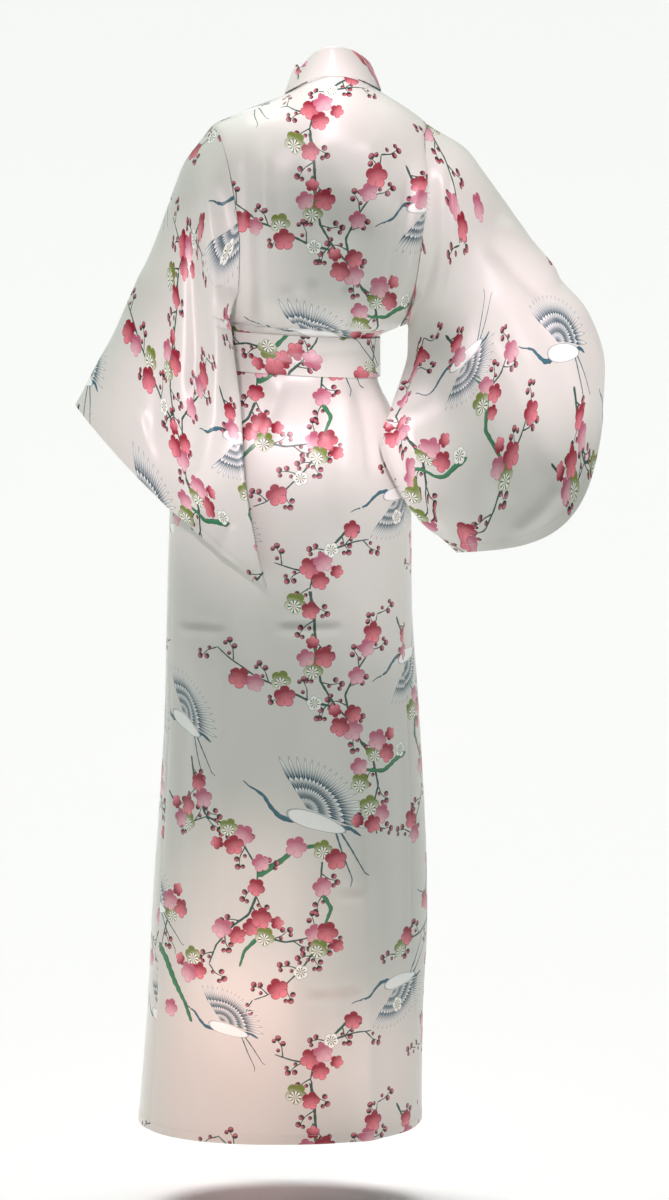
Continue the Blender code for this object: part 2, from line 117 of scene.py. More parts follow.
sleeveColumns = (
    "along", "topX", "topY", "topZ", "lowX", "lowY", "lowZ", "topHalf", "lowHalf", "belly",
)
shapes = {
    # level sections of the body: outline, depths from its middle, tilt, and the side seams' angles
    "body": {
        "columns": ("height", "left", "right", "back", "front", "middle", "tilt", "leftSeam", "rightSeam"),
        "rows": (
            (-1.375, 0.259, -0.118, 0.152, 0.148, 0.000, 0.00, 27.0, 166.0),
            (-1.221, 0.246, -0.120, 0.145, 0.143, 0.000, 0.00, 24.0, 158.0),
            (-1.089, 0.239, -0.125, 0.140, 0.138, 0.002, 0.00, 22.0, 151.0),
            (-0.957, 0.229, -0.121, 0.135, 0.133, 0.004, 0.00, 20.0, 153.0),
            (-0.825, 0.221, -0.113, 0.131, 0.127, 0.006, 0.00, 19.0, 155.0),
            (-0.693, 0.218, -0.104, 0.128, 0.121, 0.008, 0.00, 18.0, 157.0),
            (-0.561, 0.213, -0.102, 0.124, 0.116, 0.010, 0.01, 18.0, 160.0),
            (-0.469, 0.201, -0.090, 0.113, 0.110, 0.010, 0.03, 15.0, 164.0),
            (-0.416, 0.181, -0.073, 0.098, 0.103, 0.007, 0.05, 11.0, 168.0),
            (-0.381, 0.158, -0.059, 0.086, 0.094, 0.004, 0.06, 8.0, 171.0),
            (-0.331, 0.156, -0.059, 0.084, 0.090, 0.003, 0.06, 6.0, 174.0),
            (-0.314, 0.168, -0.092, 0.100, 0.097, 0.003, 0.05, 6.0, 175.0),
            (-0.285, 0.176, -0.114, 0.109, 0.103, 0.003, 0.03, 6.0, 175.0),
            (-0.200, 0.186, -0.136, 0.112, 0.108, 0.002, 0.00, 6.0, 175.0),
            (-0.140, 0.190, -0.141, 0.106, 0.098, 0.000, 0.00, 6.0, 175.0),
        ),
    },
    # ridge of the shoulders
    "shoulder": {
        "columns": ("across", "height"),
        "rows": (
            (-0.165, -0.112),
            (-0.128, -0.068),
            (-0.095, -0.042),
            (-0.059, -0.020),
            (0.000, 0.020),
            (0.057, -0.022),
            (0.115, -0.046),
            (0.169, -0.072),
            (0.200, -0.112),
        ),
    },
    "armhole": {
        "columns": ("height", "leftBack", "leftFront", "rightBack", "rightFront"),
        "rows": (
            (-0.318, 0.144, 0.158, -0.084, -0.086),
            (-0.300, 0.132, 0.158, -0.096, -0.098),
            (-0.270, 0.121, 0.156, -0.105, -0.107),
            (-0.219, 0.119, 0.156, -0.113, -0.114),
            (-0.149, 0.127, 0.154, -0.119, -0.118),
            (-0.087, 0.145, 0.156, -0.118, -0.119),
            (-0.072, 0.156, 0.156, -0.122, -0.122),
        ),
    },
    # middle of the front opening, and how far each front runs past it
    "opening": {
        "columns": ("height", "middle", "past"),
        "rows": (
            (-1.375, 0.070, 0.055),
            (-0.900, 0.060, 0.050),
            (-0.600, 0.056, 0.045),
            (-0.381, 0.050, 0.035),
            (-0.331, 0.048, 0.020),
            (-0.250, 0.034, -0.018),
            (-0.160, 0.014, -0.048),
            (-0.080, 0.002, -0.057),
            (-0.020, 0.000, -0.058),
        ),
    },
    # sections of the sleeves: the fold over the arm, the fold below it, and the hollow between
    "leftSleeve": {
        "columns": sleeveColumns,
        "rows": (
            (0.24, 0.199, 0.000, -0.128, 0.128, 0.098, -0.345, 0.056, 0.022, 0.004),
            (0.48, 0.231, 0.004, -0.214, 0.117, 0.124, -0.420, 0.054, 0.016, 0.004),
            (0.72, 0.270, 0.008, -0.306, 0.112, 0.150, -0.505, 0.050, 0.014, 0.006),
            (0.88, 0.308, 0.012, -0.374, 0.098, 0.160, -0.590, 0.047, 0.015, 0.008),
            (1.00, 0.334, 0.016, -0.425, 0.084, 0.164, -0.646, 0.045, 0.018, 0.010),
        ),
    },
    "rightSleeve": {
        "columns": sleeveColumns,
        "rows": (
            (0.20, -0.184, 0.000, -0.108, -0.097, 0.030, -0.325, 0.056, 0.030, 0.006),
            (0.40, -0.238, 0.000, -0.183, -0.096, 0.048, -0.356, 0.054, 0.022, 0.012),
            (0.60, -0.290, -0.004, -0.256, -0.075, 0.080, -0.424, 0.052, 0.016, 0.020),
            (0.76, -0.336, -0.008, -0.312, -0.060, 0.098, -0.468, 0.050, 0.015, 0.034),
            (0.89, -0.355, -0.010, -0.378, -0.096, 0.090, -0.548, 0.046, 0.018, 0.050),
            (1.00, -0.352, -0.010, -0.446, -0.160, 0.070, -0.611, 0.042, 0.022, 0.064),
        ),
    },
}

# Soft folds that the solids have too. side is 1 on the back and -1 on the front.
largeFolds = {
    "columns": ("side", "top", "foot", "topAcross", "footAcross", "width", "height"),
    "rows": (
        (1, -0.07, -0.34, 0.092, 0.088, 0.011, 0.006),
        (1, -0.07, -0.34, 0.110, 0.106, 0.009, -0.004),
        (1, -0.12, -0.34, -0.082, -0.060, 0.014, 0.005),
        (1, -0.95, -1.45, -0.036, -0.048, 0.016, 0.006),
        (1, -0.66, -1.30, -0.093, -0.096, 0.015, -0.007),
        (1, -0.66, -1.20, 0.160, 0.184, 0.030, 0.005),
        (1, -0.62, -1.25, 0.110, 0.120, 0.028, -0.005),
        (1, -0.40, -0.62, 0.028, 0.000, 0.022, 0.004),
        (-1, -0.42, -1.30, 0.150, 0.180, 0.022, -0.006),
        (-1, -0.50, -1.45, -0.050, -0.070, 0.020, 0.007),
        (-1, -0.45, -1.10, 0.090, 0.110, 0.024, 0.005),
        (-1, -0.10, -0.34, 0.120, 0.105, 0.014, 0.005),
        (-1, -0.12, -0.34, -0.085, -0.060, 0.014, 0.005),
    ),
}

# Smaller creases, in rows of side, kind, width, height and path, a line of (x, z) points.
# A soft one is a rounded ridge or trough, a sharp one has an edge, a step is the lip of a pleat,
# and a pressed one is the mark that a fold leaves in the packet.
bodyCreases = (
    (1, "step", 0.0040, 0.0030, ((0.091, -0.072), (0.091, -0.200), (0.089, -0.325))),
    (1, "soft", 0.0100, 0.0054, (
        (-0.120, -0.086), (-0.115, -0.139), (-0.107, -0.185), (-0.095, -0.231), (-0.079, -0.312),
    )),
    (1, "soft", 0.0090, -0.0054, ((-0.104, -0.100), (-0.098, -0.150), (-0.089, -0.200), (-0.072, -0.312))),
    (1, "soft", 0.0180, 0.0041, ((0.050, -0.105), (0.018, -0.160), (-0.020, -0.225))),
    (1, "soft", 0.0150, -0.0041, ((0.010, -0.085), (-0.030, -0.150), (-0.060, -0.205))),
    (1, "soft", 0.0140, 0.0034, ((-0.040, -0.070), (-0.066, -0.125), (-0.078, -0.175))),
    (1, "soft", 0.0070, 0.0035, ((0.062, -0.262), (0.058, -0.333))),
    (1, "soft", 0.0060, -0.0035, ((0.044, -0.270), (0.043, -0.333))),
    (1, "soft", 0.0060, 0.0032, ((0.026, -0.255), (0.028, -0.333))),
    (1, "soft", 0.0070, 0.0035, ((-0.018, -0.262), (-0.012, -0.333))),
    (1, "soft", 0.0060, -0.0035, ((-0.034, -0.250), (-0.027, -0.333))),
    (1, "soft", 0.0060, 0.0035, ((-0.056, -0.262), (-0.044, -0.333))),
    (1, "soft", 0.0100, 0.0041, ((-0.013, -0.384), (-0.017, -0.440), (-0.019, -0.505))),
    (1, "soft", 0.0080, 0.0043, ((-0.046, -0.384), (-0.068, -0.440), (-0.084, -0.492))),
    (1, "soft", 0.0090, -0.0041, ((-0.030, -0.384), (-0.044, -0.450), (-0.052, -0.520))),
    (1, "soft", 0.0100, -0.0038, ((0.010, -0.384), (0.014, -0.440), (0.018, -0.480))),
    (1, "soft", 0.0100, -0.0038, ((0.062, -0.384), (0.080, -0.430), (0.094, -0.480))),
    (1, "pressed", 0.0060, 0.0028, ((0.076, -0.703), (0.030, -0.704), (-0.018, -0.703))),
    (1, "pressed", 0.0060, 0.0014, ((0.206, -0.710), (0.170, -0.709), (0.134, -0.708))),
    (1, "pressed", 0.0070, 0.0030, ((0.040, -1.184), (0.000, -1.186), (-0.044, -1.180))),
    (1, "pressed", 0.0060, 0.0020, ((-0.006, -1.053), (-0.042, -1.051))),
    (1, "sharp", 0.0070, 0.0035, ((-0.040, -0.960), (-0.043, -1.100), (-0.049, -1.390))),
    (1, "soft", 0.0120, 0.0046, ((0.136, -0.680), (0.142, -0.900), (0.152, -1.300))),
    (1, "soft", 0.0120, -0.0046, ((0.190, -0.700), (0.196, -0.900), (0.205, -1.250))),
    (1, "soft", 0.0200, 0.0041, ((0.060, -0.760), (0.054, -1.000), (0.064, -1.360))),
    (1, "soft", 0.0180, -0.0041, ((0.020, -0.800), (0.012, -1.000), (0.018, -1.360))),
    (-1, "soft", 0.0120, 0.0040, ((0.170, -0.500), (0.186, -0.900), (0.205, -1.340))),
    (-1, "soft", 0.0100, -0.0040, ((0.140, -0.470), (0.150, -0.900), (0.160, -1.340))),
    (-1, "soft", 0.0120, 0.0040, ((-0.020, -0.440), (-0.034, -0.900), (-0.040, -1.340))),
    (-1, "soft", 0.0100, -0.0040, ((-0.080, -0.480), (-0.094, -0.900), (-0.100, -1.340))),
    (-1, "pressed", 0.0040, 0.0016, ((0.200, -0.705), (0.120, -0.704))),
    (-1, "pressed", 0.0040, 0.0016, ((-0.010, -1.184), (-0.090, -1.182))),
    (-1, "soft", 0.0080, 0.0030, ((0.100, -0.240), (0.090, -0.333))),
    (-1, "soft", 0.0070, -0.0030, ((0.120, -0.230), (0.112, -0.333))),
    (-1, "soft", 0.0080, 0.0030, ((-0.060, -0.240), (-0.040, -0.333))),
    (-1, "soft", 0.0070, -0.0030, ((-0.080, -0.230), (-0.060, -0.333))),
)
leftSleeveCreases = (
    (1, "soft", 0.0150, 0.0135, (
        (0.160, -0.095), (0.152, -0.231), (0.147, -0.350), (0.149, -0.429),
        (0.162, -0.496), (0.203, -0.537), (0.225, -0.572),
    )),
    (1, "soft", 0.0110, -0.0081, ((0.184, -0.139), (0.180, -0.244), (0.175, -0.350), (0.180, -0.440))),
    (1, "step", 0.0030, 0.0027, (
        (0.175, -0.085), (0.172, -0.133), (0.157, -0.178), (0.144, -0.239), (0.123, -0.322),
    )),
    (1, "soft", 0.0160, 0.0061, ((0.236, -0.225), (0.262, -0.310), (0.284, -0.410))),
    (1, "soft", 0.0130, -0.0061, ((0.206, -0.260), (0.222, -0.370), (0.232, -0.480))),
    (1, "soft", 0.0080, 0.0035, ((0.252, -0.420), (0.238, -0.470), (0.226, -0.500))),
    (1, "soft", 0.0100, -0.0054, ((0.150, -0.530), (0.182, -0.560), (0.200, -0.590))),
    (1, "soft", 0.0100, 0.0041, ((0.128, -0.560), (0.140, -0.600), (0.150, -0.630))),
    (-1, "soft", 0.0150, 0.0060, ((0.190, -0.140), (0.180, -0.260), (0.176, -0.400), (0.186, -0.500))),
    (-1, "soft", 0.0130, -0.0050, ((0.226, -0.200), (0.232, -0.330), (0.240, -0.440))),
)
rightSleeveCreases = (
    (1, "soft", 0.0110, 0.0068, ((-0.139, -0.095), (-0.141, -0.170), (-0.140, -0.235), (-0.132, -0.300))),
    (1, "step", 0.0030, 0.0046, ((-0.151, -0.100), (-0.151, -0.170), (-0.150, -0.235), (-0.140, -0.300))),
    (1, "soft", 0.0110, 0.0061, ((-0.208, -0.180), (-0.250, -0.222), (-0.300, -0.268))),
    (1, "soft", 0.0110, -0.0054, ((-0.196, -0.208), (-0.240, -0.256), (-0.286, -0.300))),
    (1, "soft", 0.0160, -0.0081, ((-0.066, -0.430), (-0.090, -0.500), (-0.118, -0.565))),
    (1, "soft", 0.0140, 0.0074, ((-0.092, -0.440), (-0.112, -0.520), (-0.142, -0.590))),
    (1, "soft", 0.0220, 0.0068, ((-0.138, -0.320), (-0.176, -0.430), (-0.220, -0.560))),
    (1, "soft", 0.0200, -0.0068, ((-0.190, -0.290), (-0.240, -0.400), (-0.296, -0.520))),
    (1, "soft", 0.0140, 0.0054, ((-0.270, -0.280), (-0.306, -0.350), (-0.334, -0.440))),
    (1, "soft", 0.0120, 0.0049, ((-0.300, -0.520), (-0.270, -0.560), (-0.230, -0.596))),
    (-1, "soft", 0.0180, 0.0060, ((-0.150, -0.200), (-0.190, -0.340), (-0.230, -0.520))),
    (-1, "soft", 0.0160, -0.0050, ((-0.200, -0.200), (-0.250, -0.330), (-0.290, -0.480))),
)


@lru_cache(maxsize=None)
def read(table, name, at):
    # a column's value between the rows, on a smooth curve with no overshoot
    column = shapes[table]["columns"].index(name)
    rows = shapes[table]["rows"]
    keys = [row[0] for row in rows]
    values = [row[column] for row in rows]
    if at <= keys[0]:
        return values[0]
    if at >= keys[-1]:
        return values[-1]
    last = len(keys) - 1
    slopes = [(values[i + 1] - values[i]) / (keys[i + 1] - keys[i]) for i in range(last)]
    tangents = [slopes[0]]
    for before, after in zip(slopes, slopes[1:]):
        tangents.append(2.0 * before * after / (before + after) if before * after > 0.0 else 0.0)
    tangents.append(slopes[-1])
    i = max(k for k in range(last) if keys[k] <= at)
    span = keys[i + 1] - keys[i]
    t = (at - keys[i]) / span
    return (
        values[i] * (1 + 2 * t) * (1 - t) ** 2
        + tangents[i] * span * t * (1 - t) ** 2
        + values[i + 1] * t * t * (3 - 2 * t)
        + tangents[i + 1] * span * t * t * (t - 1)
    )


def blend(a, b, t):
    return a + (b - a) * t


def ease(t):
    t = min(max(t, 0.0), 1.0)
    return t * t * (3.0 - 2.0 * t)


@lru_cache(maxsize=None)
def outline(height):
    left = read("body", "left", height)
    right = read("body", "right", height)
    depths = [read("body", name, height) for name in ("back", "front", "middle", "tilt")]
    return ((left + right) / 2, (left - right) / 2, *depths)


def foldPush(across, height, side):
    push = 0.0
    for foldSide, top, foot, topAcross, footAcross, width, lift in largeFolds["rows"]:
        down = (top - height) / (top - foot)
        if foldSide != side or not 0.0 < down < 1.0:
            continue
        line = blend(topAcross, footAcross, down)
        fade = ease(min(down, 1.0 - down) * 5.0)
        push += lift * fade * math.exp(-(((across - line) / width) ** 2))
    return push


def ringPoint(height, turn, out=0.0):
    # a point of the body below the bust; turn goes round from the wearer's left by the back
    centre, half, back, front, middle, tilt = outline(height)
    c = math.cos(turn)
    s = math.sin(turn)
    side = 1 if s >= 0.0 else -1
    depth = back if side == 1 else front
    power = 2 / robe["roundness"]
    x = centre + half * math.copysign(abs(c) ** power, c)
    y = middle + depth * math.copysign(abs(s) ** power, s)
    normal = Vector((c / half, s / depth, 0.0)).normalized()
    push = out + foldPush(x, height, side) * abs(normal.y)
    return Vector((x, y, height + tilt * (x - centre))) + normal * push


def turnAt(height, across, side):
    centre, half = outline(height)[:2]
    r = min(max((across - centre) / half, -1.0), 1.0)
    return side * math.acos(math.copysign(abs(r) ** (robe["roundness"] / 2), r))


def depthAt(height, across, side):
    centre, half, back, front, middle, _ = outline(height)
    r = abs(across - centre) / half
    if r >= 1.0:
        return middle - side * (r - 1.0) * half * robe["sideFall"]
    depth = back if side == 1 else front
    return middle + side * depth * (1.0 - r ** robe["roundness"]) ** (1 / robe["roundness"])


def domePoint(across, rise, side, out=0.0):
    # a point above the bust; rise is 0 at the bust and 1 on the ridge of the shoulders
    ridge = read("shoulder", "height", across)
    base = abs(depthAt(robe["bust"], across, side))
    turn = rise * math.pi / 2
    y = robe["seamGap"] / 2 + base * max(math.cos(turn), 0.0) ** robe["domeRound"]
    z = robe["bust"] + (ridge - robe["bust"]) * math.sin(turn)
    push = out + foldPush(across, z, side) * math.cos(turn)
    return Vector((across, side * (y + push * math.cos(turn)), z + out * math.sin(turn)))


def armholeX(name, height, rise):
    bust = robe["bust"]
    level = bust + (robe["armTop"] - bust) * math.sin(rise * math.pi / 2) if rise > 0.0 else height
    return read("armhole", name, level)


def neckRise(across):
    return 1.0 - collar["neckDrop"] * (1.0 - min(abs(across) / collar["neckHalf"], 1.0) ** 2)


def backPanel(u, row):
    level, rise = row
    gap = robe["armholeGap"] / 2
    if level < robe["underarm"]:
        seam = robe["seamGap"] / 2 / outline(level)[1]
        left = math.radians(read("body", "leftSeam", level)) + seam
        right = math.radians(read("body", "rightSeam", level)) - seam
    else:
        left = turnAt(level, armholeX("leftBack", level, 0.0) - gap, 1)
        right = turnAt(level, armholeX("rightBack", level, 0.0) + gap, 1)
    turn = blend(left, right, u)
    if rise == 0.0:
        return ringPoint(level, turn)
    first = ringPoint(level, left).x
    last = ringPoint(level, right).x
    part = (ringPoint(level, turn).x - first) / (last - first)
    across = blend(armholeX("leftBack", level, rise) - gap, armholeX("rightBack", level, rise) + gap, part)
    return domePoint(across, rise * neckRise(across), 1)


def openingX(height, rise, wearerSide, extra):
    bust = robe["bust"]
    level = bust + (collar["neckTop"] - bust) * math.sin(rise * math.pi / 2) if rise > 0.0 else height
    past = read("opening", "past", level) + extra
    return read("opening", "middle", level) - wearerSide * past


def underlap(across, height, rise):
    if rise > 0.0:
        return 0.0
    edge = openingX(height, 0.0, 1, collar["width"])
    inside = ease((across - edge + 0.045) / 0.035)
    return collar["underlap"] * inside * ease((robe["bust"] + 0.01 - height) / 0.03)


def frontPanel(wearerSide, u, row):
    level, rise = row
    name = "left" if wearerSide == 1 else "right"
    gap = wearerSide * robe["armholeGap"] / 2
    if level < robe["underarm"]:
        seam = math.radians(read("body", name + "Seam", level)) - (0.0 if wearerSide == 1 else 2 * math.pi)
        start = seam - wearerSide * robe["seamGap"] / 2 / outline(level)[1]
    else:
        start = turnAt(level, armholeX(name + "Front", level, 0.0) - gap, -1)
    end = turnAt(level, openingX(level, 0.0, wearerSide, -robe["seamGap"] / 2), -1)
    turn = blend(start, end, u)
    point = ringPoint(level, turn)
    if rise == 0.0:
        return point if wearerSide == 1 else ringPoint(level, turn, -underlap(point.x, level, 0.0))
    first = ringPoint(level, start).x
    last = ringPoint(level, end).x
    part = (point.x - first) / (last - first)
    hole = armholeX(name + "Front", level, rise) - gap
    edge = openingX(level, rise, wearerSide, -robe["seamGap"] / 2)
    return domePoint(blend(hole, edge, part), rise, -1)


def bandOnFront(wearerSide, w, row):
    level, rise = row
    across = openingX(level, rise, wearerSide, robe["seamGap"] / 2 + w * collar["width"])
    if rise == 0.0:
        out = 0.0 if wearerSide == 1 else -underlap(across, level, 0.0)
        return ringPoint(level, turnAt(level, across, -1), out)
    edge = domePoint(openingX(level, rise, wearerSide, robe["seamGap"] / 2), rise, -1)
    flat = domePoint(across, rise, -1)
    standing = edge + Vector((-wearerSide * collar["lean"], 0.0, collar["rise"])) * w
    return flat.lerp(standing, ease(rise))


def bandOnNeck(w, part):
    turn = part * math.pi
    across = (collar["neckHalf"] - robe["seamGap"] / 2) * math.cos(turn)
    lift = collar["lift"] * (0.3 * math.sin(turn) + abs(math.sin(2.0 * turn)))
    seam = domePoint(across, min(neckRise(across) + lift, 1.0), 1)
    low = 1.0 - collar["slope"] * ease(1.0 - part / 0.42) * ease(part / 0.12)
    inward = Vector((-collar["lean"] * math.cos(turn), -collar["backLean"] * math.sin(turn), 0.0))
    return seam + (inward + Vector((0.0, 0.0, collar["rise"] * low))) * w


def neckBand(u, row):
    # u goes from the strip's lower edge to its free edge, and the strip hangs a little past its seam
    where, place = row
    w = blend(-collar["overhang"], 1.0, u)
    if where == "neck":
        return bandOnNeck(w, place)
    return bandOnFront(1 if where == "left" else -1, w, place)


def armholePoint(wearerSide, turn):
    name = "left" if wearerSide == 1 else "right"
    side = 1 if turn <= math.pi else -1
    column = name + ("Back" if side == 1 else "Front")
    underarm = robe["underarm"]
    height = blend(robe["armTop"], underarm + robe["underarmGap"], (1.0 - math.cos(turn)) / 2)
    wide = robe["underarmGap"] / 2 * ease((underarm + 0.035 - height) / 0.03)
    across = read("armhole", column, height) + wearerSide * (robe["armholeGap"] / 2 + wide)
    if height > robe["bust"]:
        part = (height - robe["bust"]) / (robe["armTop"] - robe["bust"])
        return domePoint(across, math.asin(min(part, 1.0)) / (math.pi / 2), side)
    return ringPoint(height, turnAt(height, across, side))


def sleeveSection(table, along, turn):
    place = {name: read(table, name, along) for name in sleeveColumns[1:]}
    top = Vector((place["topX"], place["topY"], place["topZ"]))
    low = Vector((place["lowX"], place["lowY"], place["lowZ"]))
    w = (1.0 - math.cos(turn)) / 2
    down = low - top
    outward = Vector((down.z, 0.0, -down.x)).normalized()
    if outward.z > 0.0:
        outward.negate()
    half = blend(place["topHalf"], place["lowHalf"], ease(w))
    point = top.lerp(low, w) + outward * place["belly"] * math.sin(w * math.pi)
    point.y += half * math.sin(turn)
    return point


def keepClear(point, turn, weight):
    near = ease((-0.265 - point.z) / 0.04) * weight
    if near <= 0.0:
        return point
    beside = sash["low"] - 0.02 < point.z < sash["high"] + 0.02
    lift = sleeves["clear"] + (sash["clear"] + sash["wall"] if beside else 0.0)
    wall = depthAt(point.z, point.x, 1) + lift + sleeves["room"] * (1.0 + math.sin(turn))
    pushed = (point.y + wall + math.hypot(point.y - wall, sleeves["soft"])) / 2
    return Vector((point.x, blend(point.y, max(pushed, point.y), near), point.z))


def sleevePoint(table, wearerSide, u, v):
    turn = (2.0 * math.pi * u) % (2.0 * math.pi)
    first = shapes[table]["rows"][0][0]
    if v >= first:
        point = sleeveSection(table, v, turn)
    else:
        root = armholePoint(wearerSide, turn)
        here = sleeveSection(table, first, turn)
        ahead = sleeveSection(table, first + 0.01, turn)
        run = (ahead - here) / 0.01 * first
        leave = (here - root) * sleeves["reach"]
        t = v / first
        point = (
            root * ((1 + 2 * t) * (1 - t) ** 2)
            + leave * (t * (1 - t) ** 2)
            + here * (t * t * (3 - 2 * t))
            + run * (t * t * (t - 1))
        )
    return keepClear(point, turn, ease(3.0 * v / first))


def sashRound(u, v):
    height = blend(sash["low"], sash["high"], v)
    return ringPoint(height, -2.0 * math.pi * u, sash["clear"] + sash["wall"])


def sashEnd(startX, endX, u, v):
    height = sash["low"] - sash["endDrop"] - sash["endLength"] * v
    across = blend(startX, endX, ease(v)) + (u - 0.5) * sash["endWidth"]
    wave = sash["endWave"] * abs(math.sin(v * 9.0 + startX * 40.0))
    return ringPoint(height, turnAt(height, across, -1), sash["endOff"] + wave)


# ---- The print: plum blossom, buds and cranes on bare twigs, in a tile that repeats

printTile = np.array([500.0, 640.0])    # mm across and down
blossomRadius = 14.6                    # mm
blossomLayers = 3
budLayers = 3
printLevel = -0.667                     # where the tile's top lies on the skirt, metres

# Groups of blossoms: r is crimson, p pale pink, g olive green and w a small white one.
blossomGroups = {
    "columns": ("across", "down", "turn", "kinds"),
    "rows": (
        (-40, 8, 20, "rg"), (-22, 78, 200, "prg"), (-66, 112, 70, "rg"), (-112, 104, 10, "pr"),
        (50, 52, 110, "pr"), (32, 98, 30, "p"), (22, 158, 160, "rrp"), (66, 196, 250, "prg"),
        (34, 226, 80, "gp"), (56, 278, 100, "rgp"), (-24, 132, 0, "w"), (-176, 248, 60, "pr"),
        (-202, 282, 150, "prg"), (-128, 304, 95, "rgp"), (-94, 340, 40, "p"), (-100, 372, 10, "r"),
        (-6, 330, 30, "rg"), (-48, 318, 0, "p"), (-14, 372, 50, "p"), (-96, 426, 280, "rgr"),
        (-134, 430, 200, "pr"), (-18, 440, 320, "rgp"), (-42, 482, 0, "w"), (-72, 504, 45, "r"),
        (-186, 478, 130, "pgr"), (-222, 408, 220, "prg"), (-226, 540, 20, "p"), (26, 548, 60, "r"),
        (-2, 574, 0, "w"), (-20, 602, 300, "prr"), (118, 62, 75, "pr"), (152, 146, 15, "rgp"),
        (208, 116, 0, "p"), (176, 232, 190, "prg"), (226, 196, 60, "r"), (132, 304, 240, "rp"),
        (206, 346, 100, "rgp"), (176, 412, 20, "pr"), (112, 456, 310, "rg"), (204, 500, 140, "prg"),
        (160, 584, 70, "rp"), (100, 536, 0, "w"), (214, 604, 0, "p"), (104, 200, 0, "w"),
    ),
}

# Twigs and boughs: points in the tile, how thick they are, and which layer draws them.
strokes = {
    "columns": ("layer", "thick", "path"),
    "rows": (
        (0, 8.0, ((112, 206), (92, 212), (70, 224), (40, 220))),
        (0, 8.5, ((-96, 356), (-70, 338), (-48, 320), (-8, 316))),
        (0, 10.0, ((-252, 462), (-236, 478), (-220, 506), (-200, 530), (-190, 552))),
        (0, 6.5, ((-14, 380), (-2, 400), (-12, 426))),
        (0, 6.0, ((-100, 440), (-116, 456), (-122, 476))),
        (0, 8.5, ((132, 96), (154, 138), (146, 186), (176, 236))),
        (0, 7.5, ((218, 330), (192, 358), (170, 398), (184, 436))),
        (0, 6.0, ((-26, 44), (-22, 66), (-24, 90))),
        (1, 4.4, ((-30, -16), (-24, 26), (-22, 64), (-16, 104), (2, 134), (20, 154), (38, 184))),
        (1, 3.6, ((6, 138), (-28, 130), (-60, 114), (-100, 98), (-132, 76), (-150, 60))),
        (1, 3.4, ((22, 150), (16, 122), (32, 92), (54, 62), (62, 20))),
        (1, 3.9, ((36, 182), (54, 206), (62, 242), (52, 276), (60, 306))),
        (1, 4.2, ((-192, 206), (-186, 232), (-166, 282), (-132, 292), (-114, 322), (-98, 348), (-100, 384))),
        (1, 3.9, ((-100, 384), (-110, 408), (-132, 424), (-152, 448), (-162, 474))),
        (1, 3.4, ((-240, 258), (-218, 278), (-192, 292), (-166, 282))),
        (1, 3.4, ((-92, 436), (-62, 442), (-36, 438), (-14, 428))),
        (1, 3.1, ((-18, 446), (-38, 474), (-62, 498), (-88, 514), (-104, 520))),
        (1, 3.9, ((22, 546), (0, 568), (-16, 584), (-26, 604), (-30, 626))),
        (1, 3.1, ((2, 572), (30, 564), (50, 562))),
        (1, 3.1, ((-26, 604), (-52, 598), (-76, 590))),
        (1, 3.9, ((98, 28), (118, 60), (134, 100))),
        (1, 3.4, ((152, 142), (182, 132), (210, 108))),
        (1, 3.6, ((176, 234), (202, 214), (228, 188))),
        (1, 3.6, ((176, 234), (160, 268), (136, 298), (118, 318))),
        (1, 3.6, ((184, 434), (150, 448), (114, 454), (92, 474))),
        (1, 3.9, ((184, 434), (198, 468), (206, 502), (192, 542), (166, 576), (148, 604))),
        (1, 3.1, ((-12, 426), (-16, 446), (-24, 462))),
        (1, 3.1, ((-14, 340), (-16, 364), (-12, 382))),
        (1, 3.1, ((-234, 420), (-244, 446), (-248, 464))),
    ),
}

# Sprigs with buds leave each twig to either side in turn.
sprig = {"spacing": 27.0, "length": 23.0, "thick": 2.1, "angle": 52.0}
sprigBuds = {
    "columns": ("along", "beside", "radius"),
    "rows": ((1.06, 0.0, 4.0), (0.72, 4.6, 3.7), (0.96, -6.2, 3.0), (0.42, -3.8, 2.7)),
}

# Cranes: where the wing joins the body, the wing's length, turn, and whether it is turned over.
cranes = {
    "columns": ("across", "down", "size", "turn", "flip"),
    "rows": (
        (-34, 268, 86, 4, 1), (-146, 548, 58, 0, 1), (92, 516, 66, 190, -1), (122, 92, 66, 186, -1),
        (-214, 150, 70, 8, 1), (214, 400, 70, -10, 1),
    ),
}
craneLines = (
    ("neck", 0.085, ((-0.20, 0.20), (-0.40, 0.15), (-0.54, 0.02), (-0.66, -0.14), (-0.80, -0.22))),
    ("beak", 0.034, ((-0.78, -0.21), (-0.90, -0.26), (-1.00, -0.34))),
    ("leg", 0.034, ((0.52, 0.32), (0.72, 0.60), (0.94, 0.94), (1.02, 0.98))),
    ("leg", 0.034, ((0.46, 0.34), (0.60, 0.70), (0.76, 1.04), (0.74, 1.16))),
    ("tail", 0.075, ((0.50, 0.26), (0.68, 0.28), (0.84, 0.38))),
)
toneOf = {"twig": 0.1, "bough": 0.5, "crane": 0.9}


def turned(points, degrees):
    angle = math.radians(degrees)
    c = math.cos(angle)
    s = math.sin(angle)
    points = np.asarray(points, float)
    return np.stack([points[..., 0] * c - points[..., 1] * s, points[..., 0] * s + points[..., 1] * c], -1)


def sortIntoLayers(motifs, count, room):
    # motifs of one layer stay so far apart that no face of the cloth needs two of them
    layers = [[] for _ in range(count)]
    for motif in motifs:
        for layer in layers:
            gaps = [np.abs(np.array(motif[:2]) - other[:2]) for other in layer]
            gaps = [np.hypot(*np.minimum(gap, printTile - gap)) for gap in gaps]
            gaps = [gap - motif[2] - other[2] for gap, other in zip(gaps, layer)]
            if not gaps or min(gaps) > room:
                layer.append(motif)
                break
    return [np.array(layer) for layer in layers]


